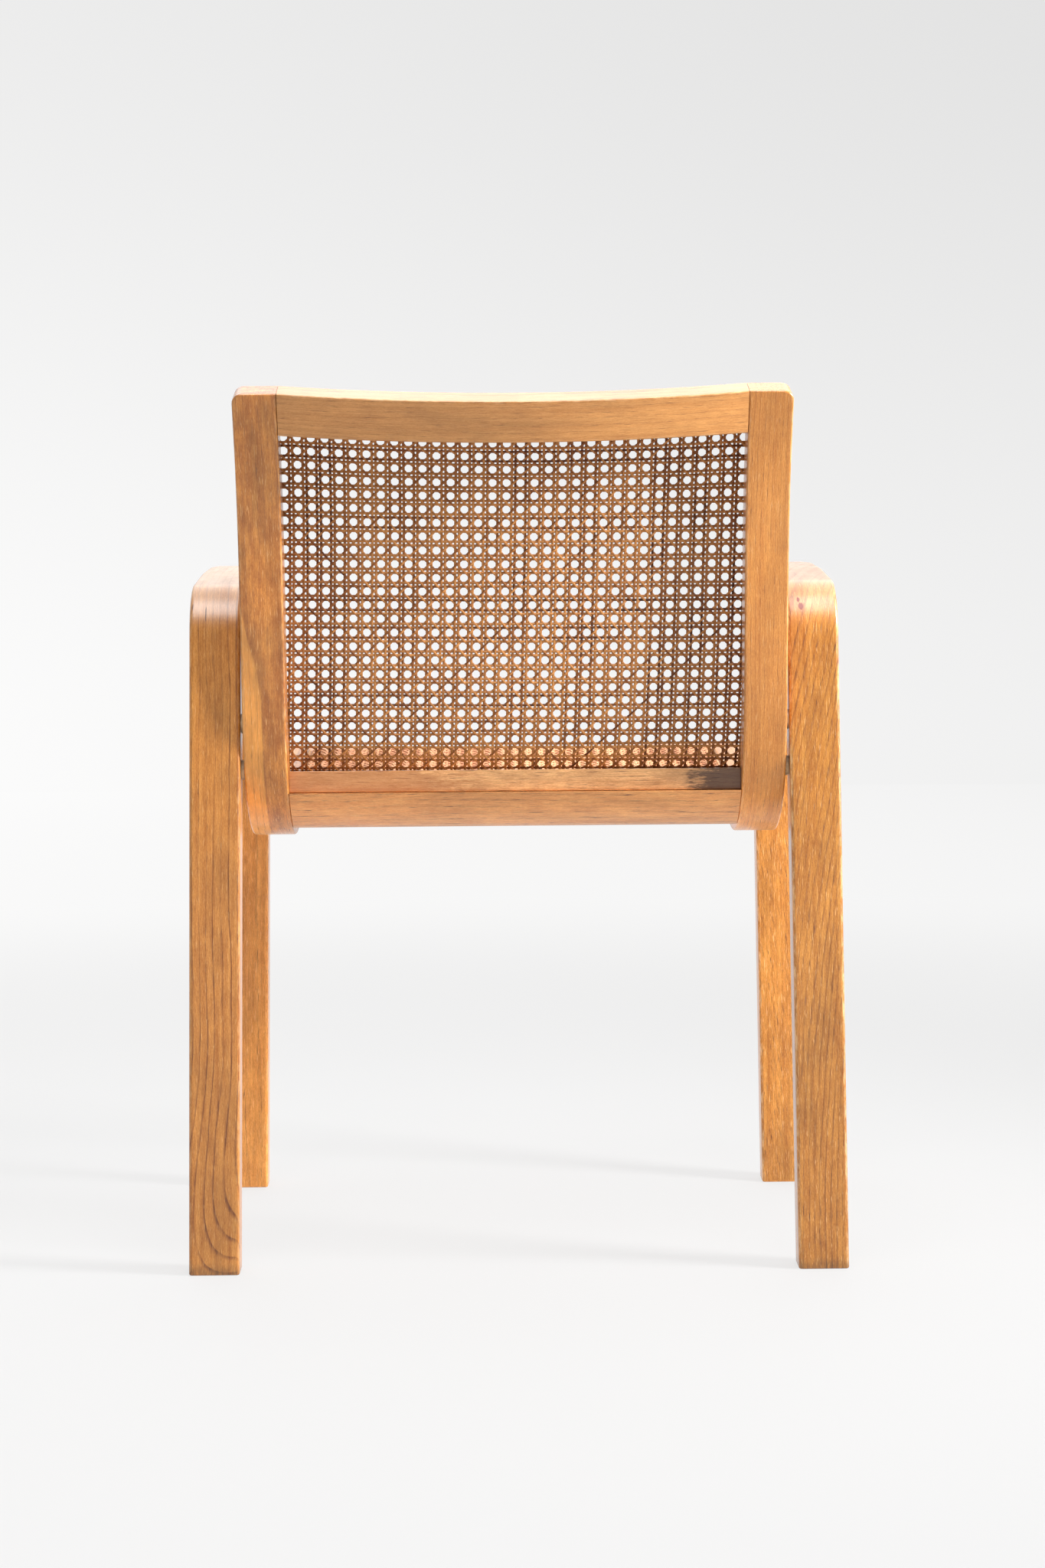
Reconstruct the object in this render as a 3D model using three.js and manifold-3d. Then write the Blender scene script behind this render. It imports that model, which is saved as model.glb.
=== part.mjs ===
import * as THREE from 'three';
import { mergeVertices } from 'three/addons/utils/BufferGeometryUtils.js';
import Module from 'manifold-3d';

// Armchair of bent laminated ash with a woven cane seat and back, in millimetres.
// It stands on z = 0, faces -y, and +x is on the sitter's left.
// Pieces are drawn in a side view: x forward from the rear legs, y up, z to the sitter's right.

// Side loops: rear leg, arm and front leg in one strip
const legSpan = 432;
const stripWidth = 46;
const stripThickness = 32;
const stripEdge = 2.5;
const loopHalfSpacing = 254;
const loopSplay = 0.0129;
const loopToeOut = 0.0303;
const rearBendRadius = 49;
const rearBendHeight = 580;
const armSlope = THREE.MathUtils.degToRad(11.5);
const frontBendRadius = 50;

// Members: seat side rail and back stile in one strip, whose course starts at the seat's front
const memberHalfSpacing = 206;
const memberWidth = 39;
const memberThickness = 27;
const memberEdge = 2;
const seatFront = 428;
const seatFrontUnderside = 447.7;
const seatSlope = THREE.MathUtils.degToRad(9.4);
const stileCornerRadius = 9;
const seatCornerRadius = 14;
const memberCourse = [
  { length: 314 },
  { turn: -85.4, radius: 105 },
  { turn: -8.5, radius: 450 },
  { turn: 2.5, radius: 2400 },
  { turn: 16, radius: 430 },
  { length: 29 },
];

// Cross rails
const topRailHeight = 38;
const topRailBow = 26;
const rearRailTop = 436;
const rearRailUnderside = 403;
const rearRailReach = 21;
const lowerRailHeight = 19.7;
const lowerRailRecess = { top: 15.5, bottom: 6.5 };
const frontRailWidth = 40;
const frontRailDish = 3;

// Webbing, and the grooves and splines that hold it
const caneThickness = 1.8;
const backGaps = { columns: 17, rows: 14 };
const seatGaps = { columns: 12, rows: 8 };
const gapShare = 0.56;
const caneLap = 7;
const caneLift = 0.8;
const caneTautness = 2.5;
const grooveWidth = 4.5;
const grooveDepth = 7;
const splineRise = 1.2;

// Fastenings
const clearance = 0.3;
const dowelRadius = 4;
const dowelLength = 36;
const dowelInset = 9;
const dowelPitch = 12;
const frontDowelDepth = 11;
const lowerRailDowel = new THREE.Vector2(29.5, 447);
const rearRailDowels = [new THREE.Vector2(48, 424), new THREE.Vector2(94, 412.5)];
const boltRadius = 3;
const boltHeadRadius = 7;
const boltHeadDepth = 2.4;
const boltSink = 1;
const insertRadius = 5;
const insertLength = 15;
const insertHoleDepth = 18;
const boltReach = 17;
const spacerRadius = 9;
const rearBolts = [new THREE.Vector2(18, 458), new THREE.Vector2(11, 500)];
const frontBolt = new THREE.Vector2(412, 458.4);

// Plan centre of the whole chair, measured forward from the rear legs
const centreForward = 169.51;

const looks = {
  loop: { color: '#c8935a', roughness: 0.5, metalness: 0 },
  member: { color: '#c48c54', roughness: 0.5, metalness: 0 },
  rail: { color: '#b98a5c', roughness: 0.52, metalness: 0 },
  cane: { color: '#a9774a', roughness: 0.6, metalness: 0 },
  spline: { color: '#a97a4a', roughness: 0.6, metalness: 0 },
  dowel: { color: '#d8b98a', roughness: 0.7, metalness: 0 },
  steel: { color: '#a7a9ac', roughness: 0.35, metalness: 1 },
  brass: { color: '#b89b5e', roughness: 0.4, metalness: 1 },
  nylon: { color: '#cdb088', roughness: 0.6, metalness: 0 },
};

const wasm = await Module();
wasm.setup();

// A closed geometry as a solid for cutting
function toSolid(geometry) {
  const plain = geometry.clone();
  plain.deleteAttribute('normal');
  plain.deleteAttribute('uv');
  const merged = mergeVertices(plain);
  return new wasm.Manifold(new wasm.Mesh({
    numProp: 3,
    vertProperties: new Float32Array(merged.attributes.position.array),
    triVerts: new Uint32Array(merged.index.array),
  }));
}

function cut(geometry, tools) {
  const body = tools.reduce((solid, tool) => solid.subtract(toSolid(tool)), toSolid(geometry));
  const mesh = body.getMesh();
  const result = new THREE.BufferGeometry();
  result.setAttribute('position', new THREE.BufferAttribute(mesh.vertProperties, 3));
  result.setIndex(new THREE.BufferAttribute(mesh.triVerts, 1));
  result.computeVertexNormals();
  return result;
}

// An outline of the side view carried across the chair, its long edges eased by a chamfer
function acrossChair(outline, from, to, edge = 0) {
  return new THREE.ExtrudeGeometry(new THREE.Shape(outline), {
    depth: to - from - 2 * edge,
    bevelEnabled: edge > 0,
    bevelThickness: edge,
    bevelSize: edge,
    bevelOffset: -edge,
    bevelSegments: 1,
  }).translate(0, 0, from + edge);
}

// A round bar that lies across the chair
function barAcross(radius, length, place, middle, sides = 12) {
  return new THREE.CylinderGeometry(radius, radius, length, sides)
    .rotateX(Math.PI / 2)
    .translate(place.x, place.y, middle);
}

// The arc length of a stretch of the member's course
function runOf(stretch) {
  return stretch.length ?? THREE.MathUtils.degToRad(Math.abs(stretch.turn)) * stretch.radius;
}

// The place on a member at a distance along its underside and rear face from the seat's front,
// moved inward to the sitter's side of the strip
function memberPoint(distance, inward = 0) {
  const place = new THREE.Vector2(seatFront, seatFrontUnderside);
  let heading = Math.PI + seatSlope;
  let left = distance;
  for (const stretch of memberCourse) {
    const run = Math.min(left, runOf(stretch));
    const turn = THREE.MathUtils.degToRad(stretch.turn ?? 0) * (run / runOf(stretch));
    const chord = turn === 0 ? run : 2 * stretch.radius * Math.sin(Math.abs(turn) / 2);
    place.x += chord * Math.cos(heading + turn / 2);
    place.y += chord * Math.sin(heading + turn / 2);
    heading += turn;
    left -= run;
  }
  return place.add(new THREE.Vector2(Math.sin(heading), -Math.cos(heading)).multiplyScalar(inward));
}

// Points along a member at one inward depth, closer together where it bends
function memberLine(from, to, inward) {
  const stops = [];
  let passed = 0;
  for (const stretch of memberCourse) {
    const steps = Math.max(1, Math.ceil(Math.abs(stretch.turn ?? 0) / 6));
    for (let step = 1; step <= steps; step += 1) stops.push(passed + (runOf(stretch) * step) / steps);
    passed += runOf(stretch);
  }
  const between = stops.filter((stop) => stop > from + 1 && stop < to - 1);
  return [from, ...between, to].map((stop) => memberPoint(stop, inward));
}

function memberBand(from, to, low, high) {
  return [...memberLine(from, to, low), ...memberLine(from, to, high).reverse()];
}

const seatRailLength = runOf(memberCourse[0]);
const bendRadius = memberCourse[1].radius;
const innerBendRadius = bendRadius - memberThickness;
const bendCentre = memberPoint(seatRailLength, bendRadius);
const memberLength = memberCourse.reduce((sum, stretch) => sum + runOf(stretch), 0);
const backTop = memberPoint(memberLength);
const backLean = THREE.MathUtils.degToRad(
  90 + memberCourse.reduce((sum, stretch) => sum + (stretch.turn ?? 0), 0),
) + seatSlope;

// The distance along a member at which an arc about the bend's centre passes a height
function bendDistance(height, radius) {
  const below = Math.asin((bendCentre.y - height) / radius);
  return seatRailLength + (Math.PI / 2 + seatSlope - below) * bendRadius;
}

const lowerRailTop = rearRailTop + clearance + lowerRailHeight;
const railHalf = memberHalfSpacing - clearance;
const lowerRailEdge = bendDistance(lowerRailTop, innerBendRadius);
const topRailEdge = memberLength - topRailHeight;
const rearRailEdge = seatRailLength - rearRailReach;

// The webbing's edges along a member; the grooves lie just outside them
const backCaneFrom = lowerRailEdge - 2 * caneLap;
const backCaneTo = topRailEdge + caneLap;
const seatCaneFrom = frontRailWidth - caneLap;
const seatCaneTo = rearRailEdge + 2 * caneLap;
const caneHalf = memberHalfSpacing + caneLap;

// How far an arc between the members stands out at a place across the chair
function sagitta(across, depth) {
  const radius = (railHalf ** 2 + depth ** 2) / (2 * depth);
  const within = Math.min(Math.abs(across), railHalf);
  return Math.sqrt(radius ** 2 - within ** 2) - (radius - depth);
}

// A bar whose outline is bent between the members, drawn with x across the chair
function bentBar(low, high, depth, half, length) {
  const steps = 14;
  const edge = (offset) => Array.from({ length: steps + 1 }, (_, step) => {
    const across = half * ((2 * step) / steps - 1);
    return new THREE.Vector2(across, offset - sagitta(across, depth));
  });
  const outline = new THREE.Shape([...edge(low), ...edge(high).reverse()]);
  return new THREE.ExtrudeGeometry(outline, { depth: length, bevelEnabled: false });
}

// Side loops

function loopOutline() {
  const frontCentre = legSpan - frontBendRadius;
  const archRadius = rearBendRadius + (frontCentre - rearBendRadius) / Math.sin(armSlope);
  const archCentre = rearBendHeight - (archRadius - rearBendRadius) * Math.cos(armSlope);
  const armTop = archCentre + archRadius;
  const join = Math.PI / 2 + armSlope;
  const inside = stripThickness;
  const shape = new THREE.Shape();
  shape.moveTo(0, 0);
  shape.lineTo(0, rearBendHeight);
  shape.absarc(rearBendRadius, rearBendHeight, rearBendRadius, Math.PI, join, true);
  shape.absarc(frontCentre, archCentre, archRadius, join, Math.PI / 2, true);
  shape.absarc(frontCentre, armTop - frontBendRadius, frontBendRadius, Math.PI / 2, 0, true);
  shape.lineTo(legSpan, 0);
  shape.lineTo(legSpan - inside, 0);
  shape.absarc(frontCentre, armTop - frontBendRadius, frontBendRadius - inside, 0, Math.PI / 2, false);
  shape.absarc(frontCentre, archCentre, archRadius - inside, Math.PI / 2, join, false);
  shape.absarc(rearBendRadius, rearBendHeight, rearBendRadius - inside, join, Math.PI, false);
  shape.lineTo(inside, 0);
  return shape.extractPoints(4).shape;
}

// How far a loop's inner face stands from the chair's middle at a place in the side view
function loopInner(place) {
  return loopHalfSpacing + loopToeOut * place.x - loopSplay * place.y;
}

function sideLoop(side) {
  const near = side > 0 ? loopHalfSpacing : -loopHalfSpacing - stripWidth;
  const strip = acrossChair(loopOutline(), near, near + stripWidth, stripEdge);
  strip.applyMatrix4(new THREE.Matrix4().makeShear(0, side * loopToeOut, 0, -side * loopSplay, 0, 0));
  const holes = [...rearBolts, frontBolt].flatMap((place) => {
    const outer = loopInner(place) + stripWidth;
    const floor = outer - boltSink - boltHeadDepth - clearance;
    const sinkLength = 2 * boltHeadDepth + 2 * boltSink;
    return [
      barAcross(boltRadius + clearance, 2 * stripWidth, place, side * (outer - stripWidth / 2)),
      barAcross(boltHeadRadius + clearance, sinkLength, place, side * (floor + sinkLength / 2), 16),
    ];
  });
  return cut(strip, holes);
}

// Members and the grooves and holes in them

// What a rounded corner takes away: the corner is at the origin, towards +x and +y
function cornerWaste(radius) {
  const shape = new THREE.Shape();
  shape.moveTo(1, 1);
  shape.lineTo(-radius, 1);
  shape.absarc(-radius, -radius, radius, Math.PI / 2, 0, true);
  shape.lineTo(1, -radius);
  const length = 2 * memberThickness;
  return new THREE.ExtrudeGeometry(shape, { depth: length, bevelEnabled: false, curveSegments: 3 })
    .translate(0, 0, -length / 2);
}

// A groove along a member beside the webbing. With slack it is the spline that fits the groove
function sideStrip(side, from, to, slack) {
  const middle = side * (caneHalf + grooveWidth / 2);
  const half = grooveWidth / 2 - slack;
  const top = memberThickness + splineRise + (slack > 0 ? 0 : 1);
  const band = memberBand(from + slack, to - slack, memberThickness - grooveDepth + slack, top);
  return acrossChair(band, middle - half, middle + half);
}

function member(side) {
  const outer = memberHalfSpacing + memberWidth;
  const from = side > 0 ? memberHalfSpacing : -outer;
  const band = memberBand(0, memberLength, 0, memberThickness);
  const strip = acrossChair(band, from, from + memberWidth, memberEdge);
  const top = memberPoint(memberLength, memberThickness / 2);
  const front = memberPoint(0, memberThickness / 2);
  return cut(strip, [
    cornerWaste(stileCornerRadius).rotateY((-side * Math.PI) / 2).rotateZ(backLean)
      .translate(top.x, top.y, side * outer),
    cornerWaste(seatCornerRadius).rotateX((side * Math.PI) / 2).rotateZ(seatSlope)
      .translate(front.x, front.y, side * outer),
    sideStrip(side, backCaneFrom, backCaneTo, 0),
    sideStrip(side, seatCaneFrom, seatCaneTo, 0),
    ...dowelPlaces.map(({ place }) => dowelHole(place, side)),
    ...[...rearBolts, frontBolt].map((place) => (
      barAcross(insertRadius + clearance, 2 * insertHoleDepth, place, side * outer)
    )),
  ]);
}

// Dowels across the joints between the rails and the members

const dowelPlaces = [
  { rail: 'top_rail', place: memberPoint(memberLength - dowelInset, memberThickness / 2) },
  { rail: 'top_rail', place: memberPoint(memberLength - dowelInset - dowelPitch, memberThickness / 2) },
  { rail: 'lower_back_rail', place: lowerRailDowel },
  { rail: 'rear_seat_rail', place: rearRailDowels[0] },
  { rail: 'rear_seat_rail', place: rearRailDowels[1] },
  { rail: 'front_seat_rail', place: memberPoint(dowelInset, frontDowelDepth) },
  { rail: 'front_seat_rail', place: memberPoint(dowelInset + dowelPitch, frontDowelDepth) },
];

function dowelHole(place, side) {
  return barAcross(dowelRadius + clearance, dowelLength + 1, place, side * memberHalfSpacing);
}

function railHoles(rail) {
  return dowelPlaces
    .filter((dowel) => dowel.rail === rail)
    .flatMap(({ place }) => [dowelHole(place, 1), dowelHole(place, -1)]);
}

// Rails. Each groove, with slack, is also its spline

function bowedBar(rear, front, low, high, half) {
  return bentBar(rear, front, topRailBow, half, high - low)
    .translate(0, 0, low)
    .applyMatrix4(new THREE.Matrix4().makeBasis(
      new THREE.Vector3(0, 0, 1),
      new THREE.Vector3(1, 0, 0),
      new THREE.Vector3(0, 1, 0),
    ))
    .rotateZ(backLean)
    .translate(backTop.x, backTop.y, 0);
}

function topStrip(slack) {
  const low = backCaneTo - memberLength;
  return bowedBar(
    memberThickness - grooveDepth + slack,
    memberThickness + splineRise + (slack > 0 ? 0 : 1),
    low + slack,
    low + grooveWidth - slack,
    slack > 0 ? railHalf - clearance : railHalf + 1,
  );
}

function topRail() {
  const rail = bowedBar(0, memberThickness, -topRailHeight, 0, railHalf);
  return cut(rail, [topStrip(0), ...railHoles('top_rail')]);
}

// A groove straight across a rail, just outside the webbing's edge
function crossStrip(from, slack) {
  const top = memberThickness + splineRise + (slack > 0 ? 0 : 1);
  const low = memberThickness - grooveDepth + slack;
  const half = slack > 0 ? railHalf - clearance : railHalf + 1;
  return acrossChair(memberBand(from + slack, from + grooveWidth - slack, low, top), -half, half);
}

const lowerStrip = (slack) => crossStrip(backCaneFrom - grooveWidth, slack);
const rearSeatStrip = (slack) => crossStrip(seatCaneTo, slack);

function lowerBackRail() {
  const bottom = rearRailTop + clearance;
  const rearFace = (height, recess) => new THREE.Vector2(
    memberPoint(bendDistance(height, bendRadius)).x + recess,
    height,
  );
  const front = memberLine(bendDistance(bottom, innerBendRadius), lowerRailEdge, memberThickness);
  const behind = [rearFace(lowerRailTop, lowerRailRecess.top), rearFace(bottom, lowerRailRecess.bottom)];
  const outline = [...front, ...behind];
  return cut(acrossChair(outline, -railHalf, railHalf), [lowerStrip(0), ...railHoles('lower_back_rail')]);
}

function rearSeatRail() {
  const under = bendDistance(rearRailUnderside, bendRadius);
  const behind = memberLine(under, bendDistance(rearRailTop, bendRadius), 0).reverse();
  const above = memberLine(rearRailEdge, bendDistance(rearRailTop, innerBendRadius), memberThickness);
  const outline = [...behind, new THREE.Vector2(above[0].x, rearRailUnderside), ...above];
  return cut(acrossChair(outline, -railHalf, railHalf), [rearSeatStrip(0), ...railHoles('rear_seat_rail')]);
}

function dishedBar(low, high, from, to, half) {
  const corner = memberPoint(0, memberThickness);
  return bentBar(low, high, frontRailDish, half, to - from)
    .translate(0, 0, from)
    .rotateY(-Math.PI / 2)
    .rotateZ(seatSlope)
    .translate(corner.x, corner.y, 0);
}

function frontStrip(slack) {
  return dishedBar(
    slack - grooveDepth,
    splineRise + (slack > 0 ? 0 : 1),
    seatCaneFrom - grooveWidth + slack,
    seatCaneFrom - slack,
    slack > 0 ? railHalf - clearance : railHalf + 1,
  );
}

function frontSeatRail() {
  const rail = dishedBar(-memberThickness, 0, 0, frontRailWidth, railHalf);
  return cut(rail, [frontStrip(0), ...railHoles('front_seat_rail')]);
}

// Webbing: a net of square gaps on a surface given by across, distance and depth

function net({ columns, rows }, surface) {
  const positions = [];
  const index = [];
  const lattice = [0, 1].map((face) => Array.from({ length: rows + 1 }, (_, row) => (
    Array.from({ length: columns + 1 }, (_unused, column) => vertex(column / columns, row / rows, face))
  )));
  function vertex(u, v, face) {
    positions.push(...surface(u, v, face).toArray());
    return positions.length / 3 - 1;
  }
  function quad(a, b, c, d) {
    index.push(a, c, b, a, d, c);
  }
  const low = (1 - gapShare) / 2;
  const high = 1 - low;
  const corners = [[low, low], [high, low], [high, high], [low, high]];
  for (let row = 0; row < rows; row += 1) {
    for (let column = 0; column < columns; column += 1) {
      const rings = lattice.map((points, face) => ({
        outer: [points[row][column], points[row][column + 1],
          points[row + 1][column + 1], points[row + 1][column]],
        inner: corners.map(([u, v]) => vertex((column + u) / columns, (row + v) / rows, face)),
      }));
      for (let corner = 0; corner < 4; corner += 1) {
        const next = (corner + 1) % 4;
        const [under, over] = rings;
        quad(over.outer[corner], over.outer[next], over.inner[next], over.inner[corner]);
        quad(under.outer[next], under.outer[corner], under.inner[corner], under.inner[next]);
        quad(over.inner[corner], over.inner[next], under.inner[next], under.inner[corner]);
      }
    }
  }
  const [under, over] = lattice;
  for (let column = 0; column < columns; column += 1) {
    quad(under[0][column], under[0][column + 1], over[0][column + 1], over[0][column]);
    quad(under[rows][column + 1], under[rows][column], over[rows][column], over[rows][column + 1]);
  }
  for (let row = 0; row < rows; row += 1) {
    quad(under[row + 1][0], under[row][0], over[row][0], over[row + 1][0]);
    quad(under[row][columns], under[row + 1][columns], over[row + 1][columns], over[row][columns]);
  }
  const geometry = new THREE.BufferGeometry();
  geometry.setAttribute('position', new THREE.Float32BufferAttribute(positions, 3));
  geometry.setIndex(index);
  geometry.computeVertexNormals();
  return geometry;
}

// The webbing between two distances along the members. It sinks with the curve of one rail,
// less and less towards the distance where the other, straight rail begins. Being taut, it
// stands a little off the curved rail
function cane(gaps, from, to, rail) {
  const half = caneHalf - clearance;
  return net(gaps, (u, v, face) => {
    const across = half * (2 * u - 1);
    const distance = THREE.MathUtils.lerp(from + clearance, to - clearance, v);
    const share = (distance - rail.straightAt) / (rail.curvedAt - rail.straightAt);
    const sinkShare = THREE.MathUtils.clamp(share, 0, 1);
    const sink = Math.max(0, sagitta(across, rail.depth) - caneTautness) * sinkShare;
    const place = memberPoint(distance, memberThickness + caneLift + face * caneThickness - sink);
    return new THREE.Vector3(place.x, place.y, across);
  });
}

const backCane = () => cane(backGaps, backCaneFrom, backCaneTo, {
  straightAt: lowerRailEdge, curvedAt: topRailEdge, depth: topRailBow,
});
const seatCane = () => cane(seatGaps, seatCaneFrom, seatCaneTo, {
  straightAt: rearRailEdge, curvedAt: frontRailWidth, depth: frontRailDish,
});

// Turned fastenings, drawn upright and laid across the chair

function ring(inner, outer, length) {
  const profile = [[inner, 0], [outer, 0], [outer, length], [inner, length], [inner, 0]];
  return new THREE.LatheGeometry(profile.map(([x, y]) => new THREE.Vector2(x, y)), 16);
}

function bolt(length) {
  const profile = [
    [0, 0], [boltRadius, 0], [boltRadius, length - boltHeadDepth],
    [boltHeadRadius, length - boltHeadDepth], [boltHeadRadius, length], [0, length],
  ];
  return new THREE.LatheGeometry(profile.map(([x, y]) => new THREE.Vector2(x, y)), 12);
}

// The chair

const sideView = new THREE.Group();
sideView.position.y = centreForward;
sideView.setRotationFromMatrix(new THREE.Matrix4().makeBasis(
  new THREE.Vector3(0, -1, 0),
  new THREE.Vector3(0, 0, 1),
  new THREE.Vector3(-1, 0, 0),
));

function add(name, geometry, look) {
  const mesh = new THREE.Mesh(geometry, new THREE.MeshStandardMaterial(look));
  mesh.name = name;
  sideView.add(mesh);
  return mesh;
}

// A turned piece whose foot is at a distance across the chair and whose head points outward
function addAcross(name, geometry, look, place, side, across) {
  const mesh = add(name, geometry, look);
  mesh.rotation.x = (side * Math.PI) / 2;
  mesh.position.set(place.x, place.y, side * across);
}

add('top_rail', topRail(), looks.rail);
add('lower_back_rail', lowerBackRail(), looks.rail);
add('rear_seat_rail', rearSeatRail(), looks.rail);
add('front_seat_rail', frontSeatRail(), looks.rail);
add('back_cane', backCane(), looks.cane);
add('seat_cane', seatCane(), looks.cane);
add('back_spline_top', topStrip(clearance), looks.spline);
add('back_spline_bottom', lowerStrip(clearance), looks.spline);
add('seat_spline_front', frontStrip(clearance), looks.spline);
add('seat_spline_rear', rearSeatStrip(clearance), looks.spline);

for (const [hand, side] of [['left', -1], ['right', 1]]) {
  add(`side_loop_${hand}`, sideLoop(side), looks.loop);
  add(`seat_back_member_${hand}`, member(side), looks.member);
  add(`back_spline_${hand}`, sideStrip(side, backCaneFrom, backCaneTo, clearance), looks.spline);
  add(`seat_spline_${hand}`, sideStrip(side, seatCaneFrom, seatCaneTo, clearance), looks.spline);

  dowelPlaces.forEach(({ rail, place }, number) => {
    const dowel = new THREE.CylinderGeometry(dowelRadius, dowelRadius, dowelLength, 12);
    addAcross(`dowel_${rail}_${number + 1}_${hand}`, dowel, looks.dowel, place, side, memberHalfSpacing);
  });

  const memberFace = memberHalfSpacing + memberWidth;
  const bolts = { rear_lower: rearBolts[0], rear_upper: rearBolts[1], front: frontBolt };
  for (const [where, place] of Object.entries(bolts)) {
    const space = loopInner(place) - memberFace;
    const toeAcrossSpacer = loopToeOut * spacerRadius;
    const spacer = ring(boltRadius + clearance, spacerRadius, space - 2 * clearance - toeAcrossSpacer);
    const insert = ring(boltRadius + clearance, insertRadius, insertLength);
    const insertFoot = memberFace - insertLength - clearance;
    const boltFoot = memberFace - boltReach;
    const boltLength = loopInner(place) + stripWidth - boltSink - boltFoot;
    const spacerLook = where === 'front' ? looks.member : looks.nylon;
    addAcross(`spacer_${where}_${hand}`, spacer, spacerLook, place, side, memberFace + clearance);
    addAcross(`insert_${where}_${hand}`, insert, looks.brass, place, side, insertFoot);
    addAcross(`bolt_${where}_${hand}`, bolt(boltLength), looks.steel, place, side, boltFoot);
  }
}

const chair = new THREE.Group();
chair.add(sideView);

export default chair;
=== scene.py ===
import bmesh
import bpy
import math
from mathutils import Matrix, Vector


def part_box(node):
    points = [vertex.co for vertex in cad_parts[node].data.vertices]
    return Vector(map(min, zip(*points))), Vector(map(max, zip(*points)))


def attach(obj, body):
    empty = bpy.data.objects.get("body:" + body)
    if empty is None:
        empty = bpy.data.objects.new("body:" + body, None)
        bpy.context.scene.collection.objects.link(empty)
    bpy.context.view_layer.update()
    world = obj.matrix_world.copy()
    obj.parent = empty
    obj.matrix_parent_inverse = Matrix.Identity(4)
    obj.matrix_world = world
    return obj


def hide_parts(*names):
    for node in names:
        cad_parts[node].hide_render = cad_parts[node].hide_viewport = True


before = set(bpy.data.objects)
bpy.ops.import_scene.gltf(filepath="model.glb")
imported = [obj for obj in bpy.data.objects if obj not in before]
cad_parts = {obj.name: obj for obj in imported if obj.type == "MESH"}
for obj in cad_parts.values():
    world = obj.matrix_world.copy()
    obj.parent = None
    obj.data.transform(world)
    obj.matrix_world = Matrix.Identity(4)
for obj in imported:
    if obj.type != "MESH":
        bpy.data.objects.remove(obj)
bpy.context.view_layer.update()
scene = bpy.context.scene
print("frame loaded with", len(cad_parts), "nodes")

# Side view places are (forward, up), forward from the rear legs' outer face
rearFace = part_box("side_loop_left")[1].y


# A colour as it is seen, 0 to 255, in the linear values that nodes take
def paint(red, green, blue):
    return tuple(((part / 255 + 0.055) / 1.055) ** 2.4 for part in (red, green, blue)) + (1.0,)


# Camera, straight behind the chair and a little below its top
cameraSet = {
    "place": (0.0197, 2.3087, 0.5081),
    "aim": (-0.01211, -1.0, -0.03017),
    "roll": -0.0083,
    "lens": 54.47, "sensor": 36, "farthest": 200,
}


def addCamera(look):
    data = bpy.data.cameras.new("camera")
    data.lens = look["lens"]
    data.sensor_width = look["sensor"]
    data.clip_end = look["farthest"]
    camera = bpy.data.objects.new("camera", data)
    scene.collection.objects.link(camera)
    aim = Vector(look["aim"]).normalized()
    level = aim.cross(Vector((0, 0, 1))).normalized()
    upright = level.cross(aim)
    right = math.cos(look["roll"]) * level + math.sin(look["roll"]) * upright
    above = right.cross(aim)
    turned = Matrix((right, above, -aim)).transposed().to_4x4()
    camera.matrix_world = Matrix.Translation(look["place"]) @ turned
    scene.camera = camera


addCamera(cameraSet)

# Strips. A course is a list of (length, 0) for a straight run or (radius, turn) for a bend.
# A bend is cut into flats of no more than facet degrees
sideLoop = {
    "width": 0.046, "thickness": 0.032, "edge": 0.0032, "endEdge": 0.0014,
    "spacing": 0.254, "splay": 0.0129, "toeOut": 0.0303, "facet": 3,
    "start": (0.0, 0.0), "heading": 90.0,
    "course": [(0.580, 0), (0.049, -78.5), (1.7193, -11.5), (0.050, -90), (0.6125, 0)],
}
member = {
    "width": 0.039, "thickness": 0.027, "edge": 0.0018, "endEdge": 0.0018,
    "spacing": 0.206, "splay": 0.0, "toeOut": 0.0, "facet": 3,
    "stileCorner": 0.009, "seatCorner": 0.014,
    "start": (0.428, 0.4477), "heading": 189.4,
    "course": [(0.314, 0), (0.105, -85.4), (0.450, -8.5), (2.400, 2.5), (0.430, 16), (0.029, 0)],
}


def stepAlong(forward, up, heading, bend, run):
    if bend == 0:
        return forward + run * math.cos(heading), up + run * math.sin(heading)
    after = heading + bend * run
    return (forward + (math.sin(after) - math.sin(heading)) / bend,
            up - (math.cos(after) - math.cos(heading)) / bend)


# Each run and bend of a course keeps where and how it starts
def measure(piece):
    distance, heading = 0.0, math.radians(piece["heading"])
    forward, up = piece["start"]
    piece["stations"] = []
    for reach, turn in piece["course"]:
        run = reach * math.radians(abs(turn)) if turn else reach
        bend = math.radians(turn) / run
        piece["stations"].append((distance, run, forward, up, heading, bend))
        forward, up = stepAlong(forward, up, heading, bend, run)
        heading += bend * run
        distance += run
    piece["length"] = distance


# The place on a strip at a distance along its outer face, moved inward through its thickness
def placeOn(piece, distance, inward=0.0):
    station = piece["stations"][0]
    for later in piece["stations"][1:]:
        if distance >= later[0]:
            station = later
    start, _, forward, up, heading, bend = station
    forward, up = stepAlong(forward, up, heading, bend, distance - start)
    heading += bend * (distance - start)
    return forward + inward * math.sin(heading), up - inward * math.cos(heading)


# Distances at which a strip's runs end and its bends are cut
def bendStops(piece, degrees):
    stops = []
    for (start, run, *_), (_, turn) in zip(piece["stations"], piece["course"]):
        count = max(1, math.ceil(abs(turn) / degrees))
        stops += [start + run * step / count for step in range(1, count + 1)]
    return stops[:-1]


measure(sideLoop)
measure(member)

# Modelling helpers


def blankBar(low, high):
    bm = bmesh.new()
    low, high = Vector(low), Vector(high)
    size = Matrix.Diagonal((*(high - low), 1))
    bmesh.ops.create_cube(bm, size=1, matrix=Matrix.Translation((low + high) / 2) @ size)
    return bm


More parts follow.
